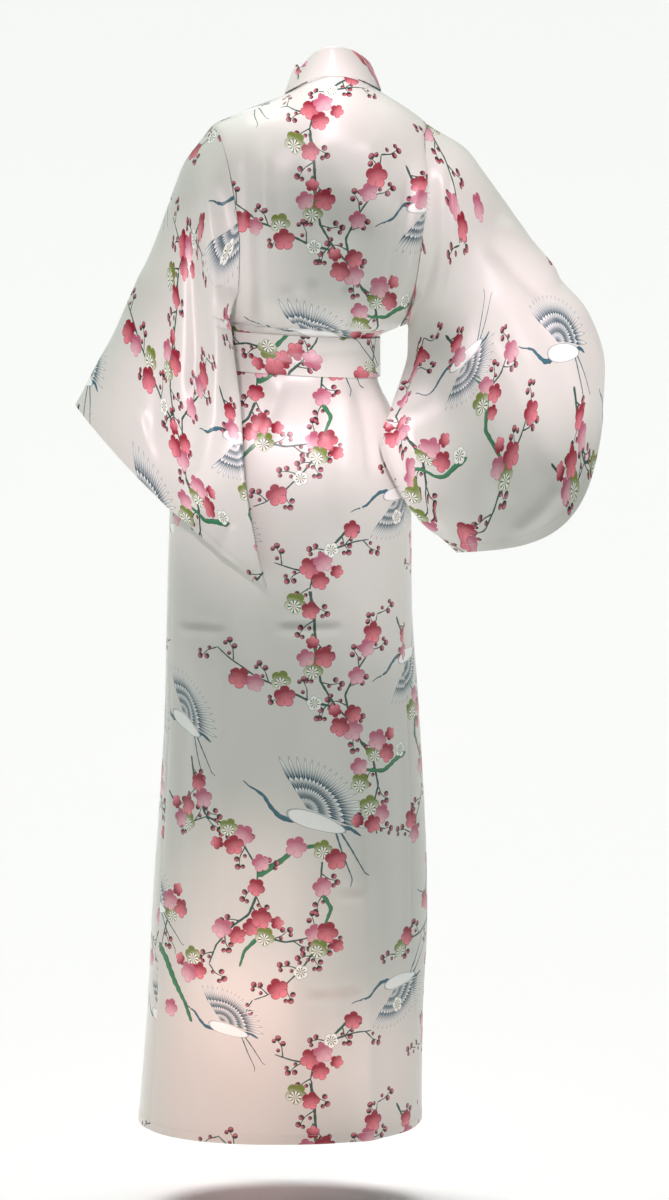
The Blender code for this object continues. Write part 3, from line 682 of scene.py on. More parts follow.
def chartPrint():
    kinds = {"r": 0.0, "p": 1.0, "g": 2.0, "w": 3.0}
    blossoms = []
    for across, down, turn, group in blossomGroups["rows"]:
        reach = {1: 0.0, 2: 11.5, 3: 14.0}[len(group)]
        for k, kind in enumerate(group):
            spot = turned((reach * (1.0 - 0.12 * k), 0.0), turn + k * 360 / len(group) + 14 * k)
            size = blossomRadius * (0.72 if kind == "w" else 1.0 - 0.08 * ((across + k) % 3))
            angle = (across * 7 + down * 3 + k * 95) % 72 - 36
            blossoms.append((across + spot[0], down + spot[1], size, angle, kinds[kind]))
        if len(group) == 3:
            spot = turned((25.0, 0.0), turn + 60)
            small = blossomRadius * 0.62
            blossoms.append((across + spot[0], down + spot[1], small, turn, kinds[group[1]] % 2))
    buds = []
    lines = []
    for layer, thick, path in strokes["rows"]:
        lines.append((layer, thick, toneOf["bough" if layer == 0 else "twig"], path))
        if layer == 0:
            continue
        path = np.array(path, float)
        steps = np.hypot(*np.diff(path, axis=0).T)
        run = np.concatenate([[0.0], np.cumsum(steps)])
        for k in range(int(run[-1] / sprig["spacing"]) + 1):
            at = min(14.0 + k * sprig["spacing"], run[-1])
            i = min(int(np.searchsorted(run, at)), len(steps)) - 1
            place = path[i] + (path[i + 1] - path[i]) * (at - run[i]) / steps[i]
            heading = math.degrees(math.atan2(*(path[i + 1] - path[i])[::-1]))
            swing = 16 * math.sin(place[0] * 0.9 + place[1])
            turn = heading + (sprig["angle"] + swing) * (1 if k % 2 else -1)
            length = sprig["length"] * (0.85 + 0.3 * abs(math.sin(place[1] * 0.7)))
            bend = turned(((0, 0), (length * 0.55, length * 0.08), (length, -length * 0.06)), turn)
            lines.append((2 + k % 2, sprig["thick"], toneOf["twig"], bend + place))
            for along, beside, radius in sprigBuds["rows"]:
                spot = turned((length * along, beside * (1 if k % 2 else -1)), turn) + place
                buds.append((spot[0], spot[1], radius, turn, 0.0))
    for across, down, size, turn, flip in cranes["rows"]:
        for _, thick, path in craneLines:
            shape = np.array(path) * (flip, 1.0) * size
            lines.append((4, thick * size, toneOf["crane"], turned(shape, turn) + (across, down)))
    return {
        "blossoms": sortIntoLayers(blossoms, blossomLayers, 8.0),
        "buds": sortIntoLayers(buds, budLayers, 5.5),
        "lines": [[line for line in lines if line[0] == layer] for layer in range(5)],
        "cranes": np.array([(a, d, s, t, f) for a, d, s, t, f in cranes["rows"]], float),
    }


def followLine(points, path):
    # signed distance beside a line, distance along it, and plain distance, for many points
    path = np.asarray(path, float)
    best = np.full(len(points), np.inf)
    beside = np.zeros(len(points))
    along = np.zeros(len(points))
    run = 0.0
    last = len(path) - 2
    for i in range(last + 1):
        step = path[i + 1] - path[i]
        length = np.hypot(*step)
        step = step / length
        away = points - path[i]
        ahead = away @ step
        cross = away[:, 0] * step[1] - away[:, 1] * step[0]
        held = np.clip(ahead, 0.0, length)
        gap = np.hypot(ahead - held, cross)
        outer = (ahead < 0.0) & (i == 0) | (ahead > length) & (i == last)
        side = np.where(outer | (held == ahead), cross, np.copysign(gap, cross))
        closer = gap < best
        best = np.where(closer, gap, best)
        beside = np.where(closer, side, beside)
        along = np.where(closer, run + np.where(outer, ahead, held), along)
        run += length
    return beside, along, best, run


def paintMotifs(corners, middles, motifs, far):
    # where each corner lies on the motif that its face is nearest to, in that motif's own units
    shift = np.rint((middles[:, None] - motifs[None, :, :2]) / printTile) * printTile
    gap = middles[:, None] - motifs[None, :, :2] - shift
    distance = np.hypot(gap[..., 0], gap[..., 1]) - motifs[None, :, 2]
    pick = distance.argmin(1)
    rows = np.arange(len(middles))
    chosen = motifs[pick]
    local = corners - (chosen[:, :2] + shift[rows, pick])[:, None]
    angle = np.radians(-chosen[:, 3])[:, None]
    x = (local[..., 0] * np.cos(angle) - local[..., 1] * np.sin(angle)) / chosen[:, 2, None]
    y = (local[..., 0] * np.sin(angle) + local[..., 1] * np.cos(angle)) / chosen[:, 2, None]
    kind = np.repeat(chosen[:, 4, None], 4, 1)
    painted = np.stack([x, y, kind], -1)
    painted[distance[rows, pick] > far] = (9.0, 9.0, 0.0)
    return painted


def paintLines(corners, middles, lines, far):
    best = np.full(len(middles), far)
    painted = np.empty((*corners.shape[:2], 3))
    painted[:] = (9.0, -9.0, 0.0)
    copies = []
    for _, thick, tone, path in lines:
        path = np.asarray(path, float)
        for a in (-1, 0, 1):
            for b in (-1, 0, 1):
                moved = path + printTile * (a, b)
                if (moved.max(0) > -far).all() and (moved.min(0) < printTile + far).all():
                    copies.append((moved, thick, tone))
    for path, thick, tone in copies:
        near = (middles > path.min(0) - far).all(1) & (middles < path.max(0) + far).all(1)
        rows = np.flatnonzero(near)
        if not len(rows):
            continue
        gap = followLine(middles[rows], path)[2]
        closer = gap < best[rows]
        rows = rows[closer]
        best[rows] = gap[closer]
        beside, along, _, length = followLine(corners[rows].reshape(-1, 2), path)
        part = along / length
        knots = 1.0 + 0.14 * np.sin(along * 0.55 + path[0, 0])
        half = thick / 2 * (1.0 - 0.5 * np.clip(part, 0.0, 1.0)) * knots
        half -= np.clip(-along, 0.0, None) + np.clip(along - length, 0.0, None)
        painted[rows] = np.stack([beside, half, np.full(len(beside), tone)], -1).reshape(-1, 4, 3)
    return painted


chart = chartPrint()
print("print charted:", [len(layer) for layer in chart["blossoms"]], [len(layer) for layer in chart["buds"]])


def printOnCloth(mesh, flat):
    # flat: each face corner's place on the cloth in mm. Every layer of the print becomes an attribute.
    middles = flat.mean(1)
    home = np.floor(middles / printTile) * printTile
    corners = flat - home[:, None]
    middles = middles - home
    layers = {}
    for k, motifs in enumerate(chart["blossoms"]):
        layers[f"blossom{k}"] = paintMotifs(corners, middles, motifs, 6.0)
    for k, motifs in enumerate(chart["buds"]):
        layers[f"bud{k}"] = paintMotifs(corners, middles, motifs, 6.0)
    wings = paintMotifs(corners, middles, chart["cranes"], 8.0)
    wings[..., 0] *= np.where(wings[..., 2] < 0.0, -1.0, 1.0)
    layers["crane"] = wings
    for k, lines in enumerate(chart["lines"]):
        layers[f"line{k}"] = paintLines(corners, middles, lines, 12.0)
    for name, values in layers.items():
        attribute = mesh.attributes.new(name, "FLOAT_VECTOR", "CORNER")
        attribute.data.foreach_set("vector", values.astype(np.float32).ravel())


# ---- Cloth pieces


def creaseProfile(kind, d):
    # how high a crease stands at a distance beside its line
    if kind == "sharp":
        return np.exp(-np.sqrt(d * d + 0.02))
    if kind == "step":
        return 0.5 * (1.0 + np.tanh(d)) * np.exp(-((np.clip(d, 0.0, None) / 6.0) ** 2))
    if kind == "pressed":
        return np.exp(-d * d) - 0.6 * np.exp(-((d - 1.8) ** 2))
    return np.exp(-d * d)


def creaseHeight(points, normals, creases):
    # how far the creases lift each point, from its distance to each crease's line
    lift = np.zeros(points.shape[:2])
    flat = points[..., [0, 2]].reshape(-1, 2)
    facing = normals[..., 1].reshape(-1)
    for side, kind, width, height, path in creases:
        beside, along, _, length = followLine(flat, path)
        ends = np.clip(np.minimum(along, length - along) / (0.22 * length), 0.0, 1.0)
        seen = np.clip(side * facing / 0.35, 0.0, 1.0)
        rise = height * creaseProfile(kind, beside / width) * ends * ends * (3.0 - 2.0 * ends) * seen
        lift += rise.reshape(lift.shape)
    return lift


def gridNormals(points, closed):
    if closed:
        ring = points[:, :-1]
        acrossStep = np.roll(ring, -1, 1) - np.roll(ring, 1, 1)
        acrossStep = np.concatenate([acrossStep, acrossStep[:, :1]], 1)
    else:
        acrossStep = np.gradient(points, axis=1)
    normals = np.cross(acrossStep, np.gradient(points, axis=0))
    return normals / np.linalg.norm(normals, axis=2, keepdims=True)


def clothRipple(points, size, stretch, height):
    # slight unevenness of hanging silk, longer up and down than across
    lift = np.zeros(points.shape[:2])
    for row in range(points.shape[0]):
        for col in range(points.shape[1]):
            x, y, z = points[row, col]
            lift[row, col] = noise.noise(Vector((x / size, y / size, z / size / stretch)))
    return lift * height


def meshFrom(bm, name):
    mesh = bpy.data.meshes.new(name)
    bm.to_mesh(mesh)
    bm.free()
    return mesh


def linked(name, data):
    thing = bpy.data.objects.new(name, data)
    bpy.context.scene.collection.objects.link(thing)
    return thing


def vertexPlaces(mesh):
    places = np.empty(len(mesh.vertices) * 3, np.float32)
    mesh.vertices.foreach_get("co", places)
    return places.reshape(-1, 3)


def cornerVertices(mesh):
    corner = np.empty(len(mesh.loops), np.int32)
    mesh.loops.foreach_get("vertex_index", corner)
    return corner


def doubleGrid(name, across, down, closed):
    # two layers of faces joined at their edges, still flat: x and y count columns and rows
    bm = bmesh.new()
    bmesh.ops.create_grid(bm, x_segments=across, y_segments=down, size=0.5)
    grown = bmesh.ops.extrude_face_region(bm, geom=bm.faces[:], use_keep_orig=True)
    for item in grown["geom"]:
        if isinstance(item, bmesh.types.BMVert):
            item.co.z = 1.0
    if closed:
        ends = [f for f in bm.faces if all(abs(abs(v.co.x) - 0.5) < 1e-6 for v in f.verts)]
        bmesh.ops.delete(bm, geom=ends, context="FACES")
    bmesh.ops.recalc_face_normals(bm, faces=bm.faces[:])
    return meshFrom(bm, name)


def runAlong(points, axis):
    # distance along the cloth from its first row or column
    run = np.zeros(points.shape[:2])
    steps = np.cumsum(np.linalg.norm(np.diff(points, axis=axis), axis=2), axis)
    if axis == 1:
        run[:, 1:] = steps
    else:
        run[1:] = steps
    return run


def hemLift(edge, deep):
    # the cloth stands thicker over a turned-up hem, and dips at its stitches
    turnedUp = 0.0006 / (1.0 + np.exp(np.minimum((edge - deep) / 0.0009, 60.0)))
    return turnedUp - 0.0005 * np.exp(-(((edge - deep + 0.002) / 0.0016) ** 2))


def makeCloth(name, surface, columns, rows, outward, creases=(), closed=False, ripple=robe["ripple"],
              seam=0.0, hem=None, hemAtEnd=False, puff=None, layFlat=None):
    mesh = doubleGrid(name, len(columns) - 1, len(rows) - 1, closed)
    grid = vertexPlaces(mesh)
    col = np.rint((grid[:, 0] + 0.5) * (len(columns) - 1)).astype(int)
    row = np.rint((grid[:, 1] + 0.5) * (len(rows) - 1)).astype(int)
    inner = grid[:, 2] > 0.5

    points = np.array([[surface(u, r) for u in columns] for r in rows])
    normals = outward * gridNormals(points, closed)
    across = runAlong(points, 1)
    down = runAlong(points, 0)
    flatWidth = across[:, -1].max()
    flatLength = down[-1].max()

    lift = creaseHeight(points, normals, creases)
    lift += clothRipple(points, 0.045, 3.0, ripple) + clothRipple(points, 0.018, 1.6, ripple * 0.35)
    if seam:
        for edge in (across, across[:, -1:] - across):
            lift -= robe["seamDeep"] * np.exp(-((edge / seam) ** 2))
    if hem:
        lift += hemLift(down[-1:] - down if hemAtEnd else down, hem)
    if puff:
        part = across / across[:, -1:]
        lift += puff(points) * (np.cos(np.pi / 2 * part).clip(0.0) ** 0.4 + 0.24)
    points = points + normals * lift[..., None]

    placed = points[row, col] - normals[row, col] * (robe["wall"] * inner)[:, None]
    mesh.vertices.foreach_set("co", placed.astype(np.float32).ravel())
    corner = cornerVertices(mesh)
    flat = layFlat(points, across, down) * 1000.0
    printOnCloth(mesh, flat[row[corner], col[corner]].reshape(-1, 4, 2))

    # the two faces of the cloth lie side by side in the map, each at its real proportions
    scale = 0.98 / max(2.0 * flatWidth + 0.02, flatLength)
    shifted = np.where(inner, (flatWidth + 0.01) * scale, 0.0)
    uv = np.stack([across[row, col] * scale + 0.01 + shifted, down[row, col] * scale + 0.01], -1)
    layer = mesh.uv_layers.new(name="OFBake")
    layer.data.foreach_set("uv", uv[corner].astype(np.float32).ravel())

    bm = bmesh.new()
    bm.from_mesh(mesh)
    if closed:
        bmesh.ops.remove_doubles(bm, verts=bm.verts[:], dist=1e-5)
    bmesh.ops.recalc_face_normals(bm, faces=bm.faces[:])
    bm.to_mesh(mesh)
    bm.free()
    mesh.shade_smooth()
    mesh.set_sharp_from_angle(angle=math.radians(60))
    piece = linked(name, mesh)
    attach(piece, "root")
    print(name, "made:", len(mesh.polygons) * 2, "triangles, flat", round(flatWidth, 3), round(flatLength, 3))
    return {"piece": piece, "points": points, "normals": normals, "across": across, "down": down}


# How each piece lies on the printed cloth. The first number goes to the viewer's right from outside,
# the second one down.


def downFromHips(points, down):
    level = down.mean(1)
    middle = points.shape[1] // 2
    fromHips = np.interp(printLevel, points[:, middle, 2], level) - level
    return np.repeat(fromHips[:, None], points.shape[1], 1)


def layBack(points, across, down):
    middle = np.array([np.interp(0.0, -points[r, :, 0], across[r]) for r in range(len(points))])
    return np.stack([across - middle[:, None], downFromHips(points, down)], -1)


def layFront(sign, start, points, across, down):
    return np.stack([start + sign * across, downFromHips(points, down)], -1)


def laySleeve(sign, lean, start, points, across, down):
    # the print stands upright where the sleeve hangs, so it leans against the sleeve's own length
    around = across - across[:, across.shape[1] // 2][:, None]
    c = math.cos(math.radians(lean))
    s = math.sin(math.radians(lean))
    return np.stack([start[0] + sign * (around * c - down * s), start[1] + down * c + around * s], -1)


def layStrip(start, points, across, down):
    return np.stack([start[0] + across, start[1] + down], -1)


def spaced(low, high, step):
    count = max(1, round(abs(high - low) / step))
    return [blend(low, high, k / count) for k in range(count)]


def bodyRows():
    stops = (robe["hipRows"], sash["low"], sash["high"], robe["underarm"], robe["chestRows"], robe["bust"])
    low = robe["hem"] + 0.020
    heights = spaced(robe["hem"], low, robe["hemCell"])
    for high in stops:
        heights += spaced(low, high, robe["cell"])
        low = high
    dome = [(robe["bust"], rise) for rise in evenly(robe["domeRows"])]
    return [(height, 0.0) for height in heights] + dome


def evenly(count, low=0.0, high=1.0):
    return [blend(low, high, k / count) for k in range(count + 1)]


def bandPuff(points):
    # the strip lies flat where the sash or the other front holds it down
    height = points[..., 2].mean(1)
    onLeft = np.arange(len(points)) < len(points) / 2
    flatBelow = np.where(onLeft, collar["flatUnderSash"], collar["flatUnderFront"])
    return collar["puff"] * ((height - flatBelow) / collar["flatFade"]).clip(0.0, 1.0)[:, None]


rows = bodyRows()
cloth = {}
cloth["back_panel"] = makeCloth(
    "back_panel", backPanel, evenly(96), rows, 1,
    creases=bodyCreases, seam=robe["seamWide"], hem=robe["hemDeep"], layFlat=layBack,
)
for name, side, start in (("left", 1, -0.150), ("right", -1, 0.130)):
    cloth[name + "_front"] = makeCloth(
        name + "_front", partial(frontPanel, side), evenly(66), rows, -side,
        creases=bodyCreases, seam=robe["seamWide"], hem=robe["hemDeep"],
        layFlat=partial(layFront, -side, start),
    )
bandRows = [("left", row) for row in rows]
bandRows += [("neck", part) for part in evenly(40)[1:-1]]
bandRows += [("right", row) for row in reversed(rows)]
bandColumns = [0.0, 0.015, 0.05] + evenly(10, 0.1, 0.95) + [0.985, 1.0]
cloth["neck_band"] = makeCloth(
    "neck_band", neckBand, bandColumns, bandRows, -1,
    ripple=collar["ripple"], puff=bandPuff, layFlat=partial(layStrip, (-0.250, -1.202)),
)
cuff = 1.0 - sleeves["cuffPart"]
stations = spaced(0.0, cuff, sleeves["cell"]) + spaced(cuff, 1.0, sleeves["cuffCell"]) + [1.0]
for name, side, lean, start, creases in (
    ("left", 1, 18.0, (-0.080, -0.181), leftSleeveCreases),
    ("right", -1, 27.0, (-0.272, -0.148), rightSleeveCreases),
):
    surface = partial(sleevePoint, name + "Sleeve", side)
    cloth[name + "_sleeve"] = makeCloth(
        name + "_sleeve", surface, evenly(150, -0.5, 0.5), stations, -side,
        creases=creases, closed=True, hem=sleeves["hemDeep"], hemAtEnd=True,
        layFlat=partial(laySleeve, side, lean, start),
    )
cloth["sash"] = makeCloth(
    "sash", sashRound, evenly(130), evenly(14), -1, closed=True, ripple=sash["ripple"],
    creases=(
        (1, "soft", 0.0030, 0.0016, ((0.160, -0.352), (0.100, -0.360), (0.050, -0.366), (0.000, -0.362))),
        (1, "soft", 0.0030, -0.0014, ((0.150, -0.344), (0.090, -0.350), (0.020, -0.352), (-0.050, -0.350))),
        (1, "soft", 0.0040, 0.0012, ((0.040, -0.338), (-0.010, -0.341), (-0.060, -0.339))),
        (1, "step", 0.0012, 0.0012, ((sash["joinAcross"], -0.326), (sash["joinAcross"], -0.386))),
        (-1, "soft", 0.0040, 0.0016, ((0.140, -0.350), (0.050, -0.356), (-0.050, -0.352))),
    ),
    layFlat=partial(layStrip, (-0.116, 0.405)),
)
for name, startX, endX in sash["ends"]:
    cloth[name] = makeCloth(
        name, partial(sashEnd, startX, endX), evenly(12), evenly(90), -1,
        creases=((-1, "soft", 0.0050, 0.0020, ((startX + 0.008, -0.39), (endX + 0.004, -0.79))),),
        layFlat=partial(layStrip, (startX, 0.10)),
    )
print("cloth made")


# ---- The knot at the front


def makeKnot():
    height = (sash["low"] + sash["high"]) / 2
    turn = turnAt(height, sash["knotAcross"], -1)
    size = sash["knotSize"]
    face = ringPoint(height, turn, sash["clear"] + sash["wall"] + size[1] / 2 + sash["knotClear"])
    outward = (face - ringPoint(height, turn, 0.0)).normalized()
    bm = bmesh.new()
    bmesh.ops.create_cube(bm, size=1.0)
    bmesh.ops.scale(bm, vec=size, verts=bm.verts[:])
    bmesh.ops.bevel(bm, geom=bm.edges[:], offset=0.012, affect="EDGES", segments=5, profile=0.5, material=-1)
    bmesh.ops.subdivide_edges(bm, edges=bm.edges[:], cuts=3, use_grid_fill=True)
    for vert in bm.verts:
        x, y, z = vert.co
        pleat = sash["knotPleat"] * math.cos((z + 0.35 * x) * 470.0 + 4.0 * math.sin(x * 60.0))
        waist = 1.0 - 0.14 * math.exp(-(((x + 0.25 * z) / 0.014) ** 2))
        vert.co = Vector((x, y * waist + math.copysign(pleat, y) * min(abs(y) / 0.01, 1.0), z * waist))
    aim = Matrix.Rotation(math.atan2(outward.x, -outward.y), 4, "Z")
    bmesh.ops.transform(bm, matrix=Matrix.Translation(face) @ aim, verts=bm.verts[:])
    bmesh.ops.recalc_face_normals(bm, faces=bm.faces[:])
    mesh = meshFrom(bm, "sash_knot")
    flat = vertexPlaces(mesh)[:, [0, 2]][cornerVertices(mesh)].reshape(-1, 4, 2) * (1000.0, -1000.0)
    printOnCloth(mesh, flat + sash["knotPrint"])
    mesh.shade_smooth()
    piece = linked("sash_knot", mesh)
    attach(piece, "root")
    return piece


knot = makeKnot()


# ---- Stitches of the hems and cuffs

thread = {"length": 0.0026, "gap": 0.0014, "thick": 0.00045, "above": 0.0001, "fromHem": 0.002}


def spotAlong(steps, values, at):
    return np.array([np.interp(at, steps, values[:, axis]) for axis in range(3)])


def sewRow(name, sewn, rowAt, fromEnd):
    # a row of stitches on a line that stays level with the edge of the cloth
    points, normals, run = sewn["points"], sewn["normals"], sewn["down"]
    edge = run[-1:] - run if fromEnd else run
    row = int(np.abs(edge.mean(1) - rowAt).argmin())
    line = points[row] + normals[row] * thread["above"]
    steps = np.concatenate([[0.0], np.cumsum(np.linalg.norm(np.diff(line, axis=0), axis=1))])
    pitch = thread["length"] + thread["gap"]
    bm = bmesh.new()
    for k in range(int(steps[-1] / pitch) - 1):
        at = (k + 0.7) * pitch
        here, ahead = (spotAlong(steps, line, place) for place in (at, at + 0.001))
        x = Vector(ahead - here).normalized()
        z = Vector(spotAlong(steps, normals[row], at)).normalized()
        turn = Matrix((x, z.cross(x), z)).transposed().to_4x4()
        size = Matrix.Diagonal((thread["length"], thread["thick"], thread["thick"], 1.0))
        bmesh.ops.create_cube(bm, size=1.0, matrix=Matrix.Translation(Vector(here)) @ turn @ size)
    piece = linked(name, meshFrom(bm, name))
    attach(piece, "root")
    return piece


stitches = {}
for name in ("back_panel", "left_front", "right_front", "left_sleeve", "right_sleeve"):
    isSleeve = name.endswith("sleeve")
    depth = (sleeves if isSleeve else robe)["hemDeep"] - thread["fromHem"]
    stitches[name] = sewRow(name + "_stitches", cloth[name], depth, isSleeve)
print("hems sewn")


# ---- Materials


def linear(code):
    # sRGB hex to linear colour
    parts = [int(code[i:i + 2], 16) / 255 for i in (1, 3, 5)]
    return (*(p / 12.92 if p <= 0.04045 else ((p + 0.055) / 1.055) ** 2.4 for p in parts), 1.0)


def addNode(tree, kind, *inputs, **settings):
    # adds a node, gives it its settings, and links or sets its inputs in order; None leaves one alone
    node = tree.nodes.new("ShaderNode" + kind)
    for name, value in settings.items():
        setattr(node, name, value)
    sockets = [s for s in node.inputs if s.enabled]
    for socket, value in zip(sockets, inputs):
        if isinstance(value, bpy.types.NodeSocket):
            tree.links.new(value, socket)
        elif value is not None:
            socket.default_value = value
    return next(s for s in node.outputs if s.enabled)


silk = {
    "ground": "#DEDCD7",
    "crimson": "#94152F", "crimsonIn": "#F08C99",
    "pink": "#B9607A", "pinkIn": "#EFC0CA",
    "olive": "#74852F", "oliveIn": "#F2F4E6",
    "white": "#4F7F78", "whiteIn": "#FAF9F4",
    "stamen": "#FBF8EA", "stamenDark": "#35625A",
    "budEdge": "#33262A", "bud": "#9A2638", "budTip": "#E58C98",
    "twig": "#2F5D50", "twigEdge": "#1E3F38",
    "bough": "#38905C", "boughEdge": "#17402F",
    "crane": "#3C7484", "craneEdge": "#1F4C5A",
    "feather": "#FAFBF9", "featherShade": "#184A5B",
    "thread": "#D9CFC4",
    "roughness": 0.36,
    "gloss": 0.55,
    "sheen": 0.20,
    "sheenRoughness": 0.40,
    "weave": 0.9,              # mm; satin's own threads are too fine to show, so the slubs are drawn
    "slubHeight": 0.05,
}


def inks(tree):
    # short names for the nodes that the print is drawn with
    add = partial(addNode, tree)
    sums = {
        "plus": "ADD", "minus": "SUBTRACT", "times": "MULTIPLY", "over": "DIVIDE", "fit": "MULTIPLY_ADD",
        "power": "POWER", "root": "SQRT", "size": "ABSOLUTE", "rest": "FRACT", "wave": "COSINE",
        "heading": "ARCTAN2", "larger": "MAXIMUM", "above": "GREATER_THAN", "below": "LESS_THAN",
    }
    short = {name: partial(add, "Math", operation=kind) for name, kind in sums.items()}
    return SimpleNamespace(
        add=add, ramp=partial(add, "MapRange"), mix=partial(add, "Mix", data_type="RGBA"), **short,
    )


def stops(ink, value, colours):
    # one of a few colours, picked by a number from 0 up
    out = ink.add("ValToRGB", value)
    ramp = out.node.color_ramp
    ramp.interpolation = "CONSTANT"
    while len(ramp.elements) < len(colours):
        ramp.elements.new(0.5)
    for k, (element, colour) in enumerate(zip(ramp.elements, colours)):
        element.position = k / len(colours)
        element.color = linear(silk[colour])
    return out


def onMotif(ink, layer):
    # the three numbers that the cloth's faces carry for a layer of the print
    values = ink.add("Attribute", attribute_name=layer, attribute_type="GEOMETRY").node.outputs["Vector"]
    return ink.add("SeparateXYZ", values).node.outputs


def squares(ink, x, y):
    return ink.plus(ink.times(x, x), ink.times(y, y))


def paintBlossoms(ink, under, layer):
    x, y, kind = onMotif(ink, layer)
    r = ink.root(squares(ink, x, y))
    lobe = ink.size(ink.wave(ink.times(ink.heading(y, x), 2.5)))
    petal = ink.fit(ink.power(lobe, 0.5), 0.33, 0.67)
    inside = ink.minus(petal, r)
    pick = ink.times(ink.plus(kind, 0.5), 0.25)
    outer = stops(ink, pick, ("crimson", "pink", "olive", "white"))
    inner = stops(ink, pick, ("crimsonIn", "pinkIn", "oliveIn", "whiteIn"))
    # the dye runs from dark to light across the flower, and towards its middle
    wash = ink.plus(ink.fit(y, 0.80, 0.40), ink.fit(r, -0.25, 0.12))
    isWhite = ink.above(kind, 2.5)
    flower = ink.mix(ink.larger(ink.larger(wash, 0.0), isWhite), outer, inner)
    # petals part in thin lines, and have a thin edge
    parting = ink.times(ink.ramp(lobe, 0.02, 0.20, 0.65, 0.0), ink.ramp(r, 0.18, 0.45, 0.0, 1.0))
    rim = ink.ramp(inside, 0.02, 0.13, 0.75, 0.0)
    flower = ink.mix(ink.larger(parting, rim), flower, outer)
    # stamens only show on the green and white ones
    low = ink.minus(y, ink.times(ink.minus(1.0, isWhite), 0.30))
    r = ink.root(squares(ink, x, low))
    rays = ink.wave(ink.times(ink.heading(low, x), 9.0))
    rays = ink.ramp(rays, 0.25, 0.65, 0.0, 1.0)
    shaft = ink.times(rays, ink.ramp(r, 0.46, 0.52, 1.0, 0.0))
    ring = ink.below(ink.size(ink.minus(r, 0.50)), 0.09)
    show = ink.above(kind, 1.5)
    core = ink.times(ink.times(ink.ramp(r, 0.50, 0.58, 1.0, 0.0), show), 0.85)
    flower = ink.mix(core, flower, linear(silk["stamen"]))
    shaft = ink.times(ink.larger(shaft, ink.times(rays, ring)), show)
    flower = ink.mix(shaft, flower, linear(silk["stamenDark"]))
    return ink.mix(ink.ramp(inside, 0.0, 0.03, 0.0, 1.0), under, flower)


def paintBuds(ink, under, layer):
    # round buds, dark where they leave the twig and pale on top
    x, y, _ = onMotif(ink, layer)
    r = squares(ink, x, y)
    edge = ink.ramp(r, 0.48, 0.74, 0.0, 1.0)
    bud = ink.mix(ink.ramp(x, -0.2, 0.7, 0.0, 0.8), linear(silk["bud"]), linear(silk["budTip"]))
    calyx = ink.larger(edge, ink.ramp(x, -0.30, 0.0, 1.0, 0.0))
    bud = ink.mix(calyx, bud, linear(silk["budEdge"]))
    return ink.mix(ink.ramp(r, 0.92, 1.0, 1.0, 0.0), under, bud)


def paintStrokes(ink, under, layer):
    # twigs, boughs and the cranes' necks and legs, darker along one edge
    beside, half, tone = onMotif(ink, layer)
    inside = ink.minus(half, ink.size(beside))
    body = stops(ink, tone, ("twig", "bough", "crane"))
    edge = stops(ink, tone, ("twigEdge", "boughEdge", "craneEdge"))
    shade = ink.times(ink.fit(ink.over(beside, half), 0.5, 0.5), 0.55)
    shade = ink.larger(shade, ink.ramp(inside, 0.3, 1.1, 1.0, 0.0))
    stroke = ink.mix(shade, body, edge)
    return ink.mix(ink.ramp(inside, 0.0, 0.25, 0.0, 1.0), under, stroke)


def paintCranes(ink, under, layer):
    # a fan of long feathers with three rows of short ones over them, and a white body below
    x, y, _ = onMotif(ink, layer)
    up = ink.times(y, -1.0)
    r = ink.root(squares(ink, x, up))
    fan = ink.ramp(ink.heading(up, x), -0.35, 2.20, 0.0, 1.0, clamp=False)
    middle = ink.minus(fan, 0.55)
    part = ink.over(r, ink.fit(ink.times(middle, middle), 1.1, 0.70))
    feather = ink.rest(ink.times(fan, 17.0))
    off = ink.size(ink.minus(feather, 0.5))
    within = ink.minus(ink.ramp(part, 0.66, 1.0, 0.5, 0.06), off)
    inFan = ink.below(ink.size(ink.minus(fan, 0.5)), 0.5)
    inFan = ink.times(inFan, ink.below(part, 1.0))
    wing = ink.times(ink.ramp(within, 0.0, 0.05, 0.0, 1.0), inFan)
    # each row of feathers is teal where it comes out and white at its tips and shafts
    bow = ink.times(ink.times(off, off), 1.8)
    rank = ink.rest(ink.plus(ink.times(part, 5.0), bow))
    short = ink.below(part, 0.62)
    shortShade = ink.times(ink.ramp(rank, 0.40, 1.0, 1.0, 0.0), short)
    longShade = ink.times(ink.ramp(part, 0.60, 0.94, 1.0, 0.0), ink.minus(1.0, short))
    shaft = ink.ramp(off, 0.03, 0.11, 0.6, 0.0)
    teal = ink.times(ink.plus(shortShade, longShade), ink.minus(1.0, shaft))
    teal = ink.larger(teal, ink.ramp(within, 0.03, 0.14, 0.9, 0.0))
    feathers = ink.mix(teal, linear(silk["feather"]), linear(silk["featherShade"]))
    out = ink.mix(wing, under, feathers)
    bodyX = ink.times(ink.minus(x, 0.16), 2.15)
    bodyY = ink.plus(ink.fit(x, 0.26, 0.16), up)
    bodyY = ink.times(bodyY, ink.ramp(x, -0.3, 0.6, 6.0, 9.5))
    body = squares(ink, bodyX, bodyY)
    rim = ink.ramp(body, 0.80, 0.98, 0.0, 0.8)
    plume = ink.mix(rim, linear(silk["feather"]), linear(silk["featherShade"]))
    return ink.mix(ink.ramp(body, 0.96, 1.02, 1.0, 0.0), out, plume)


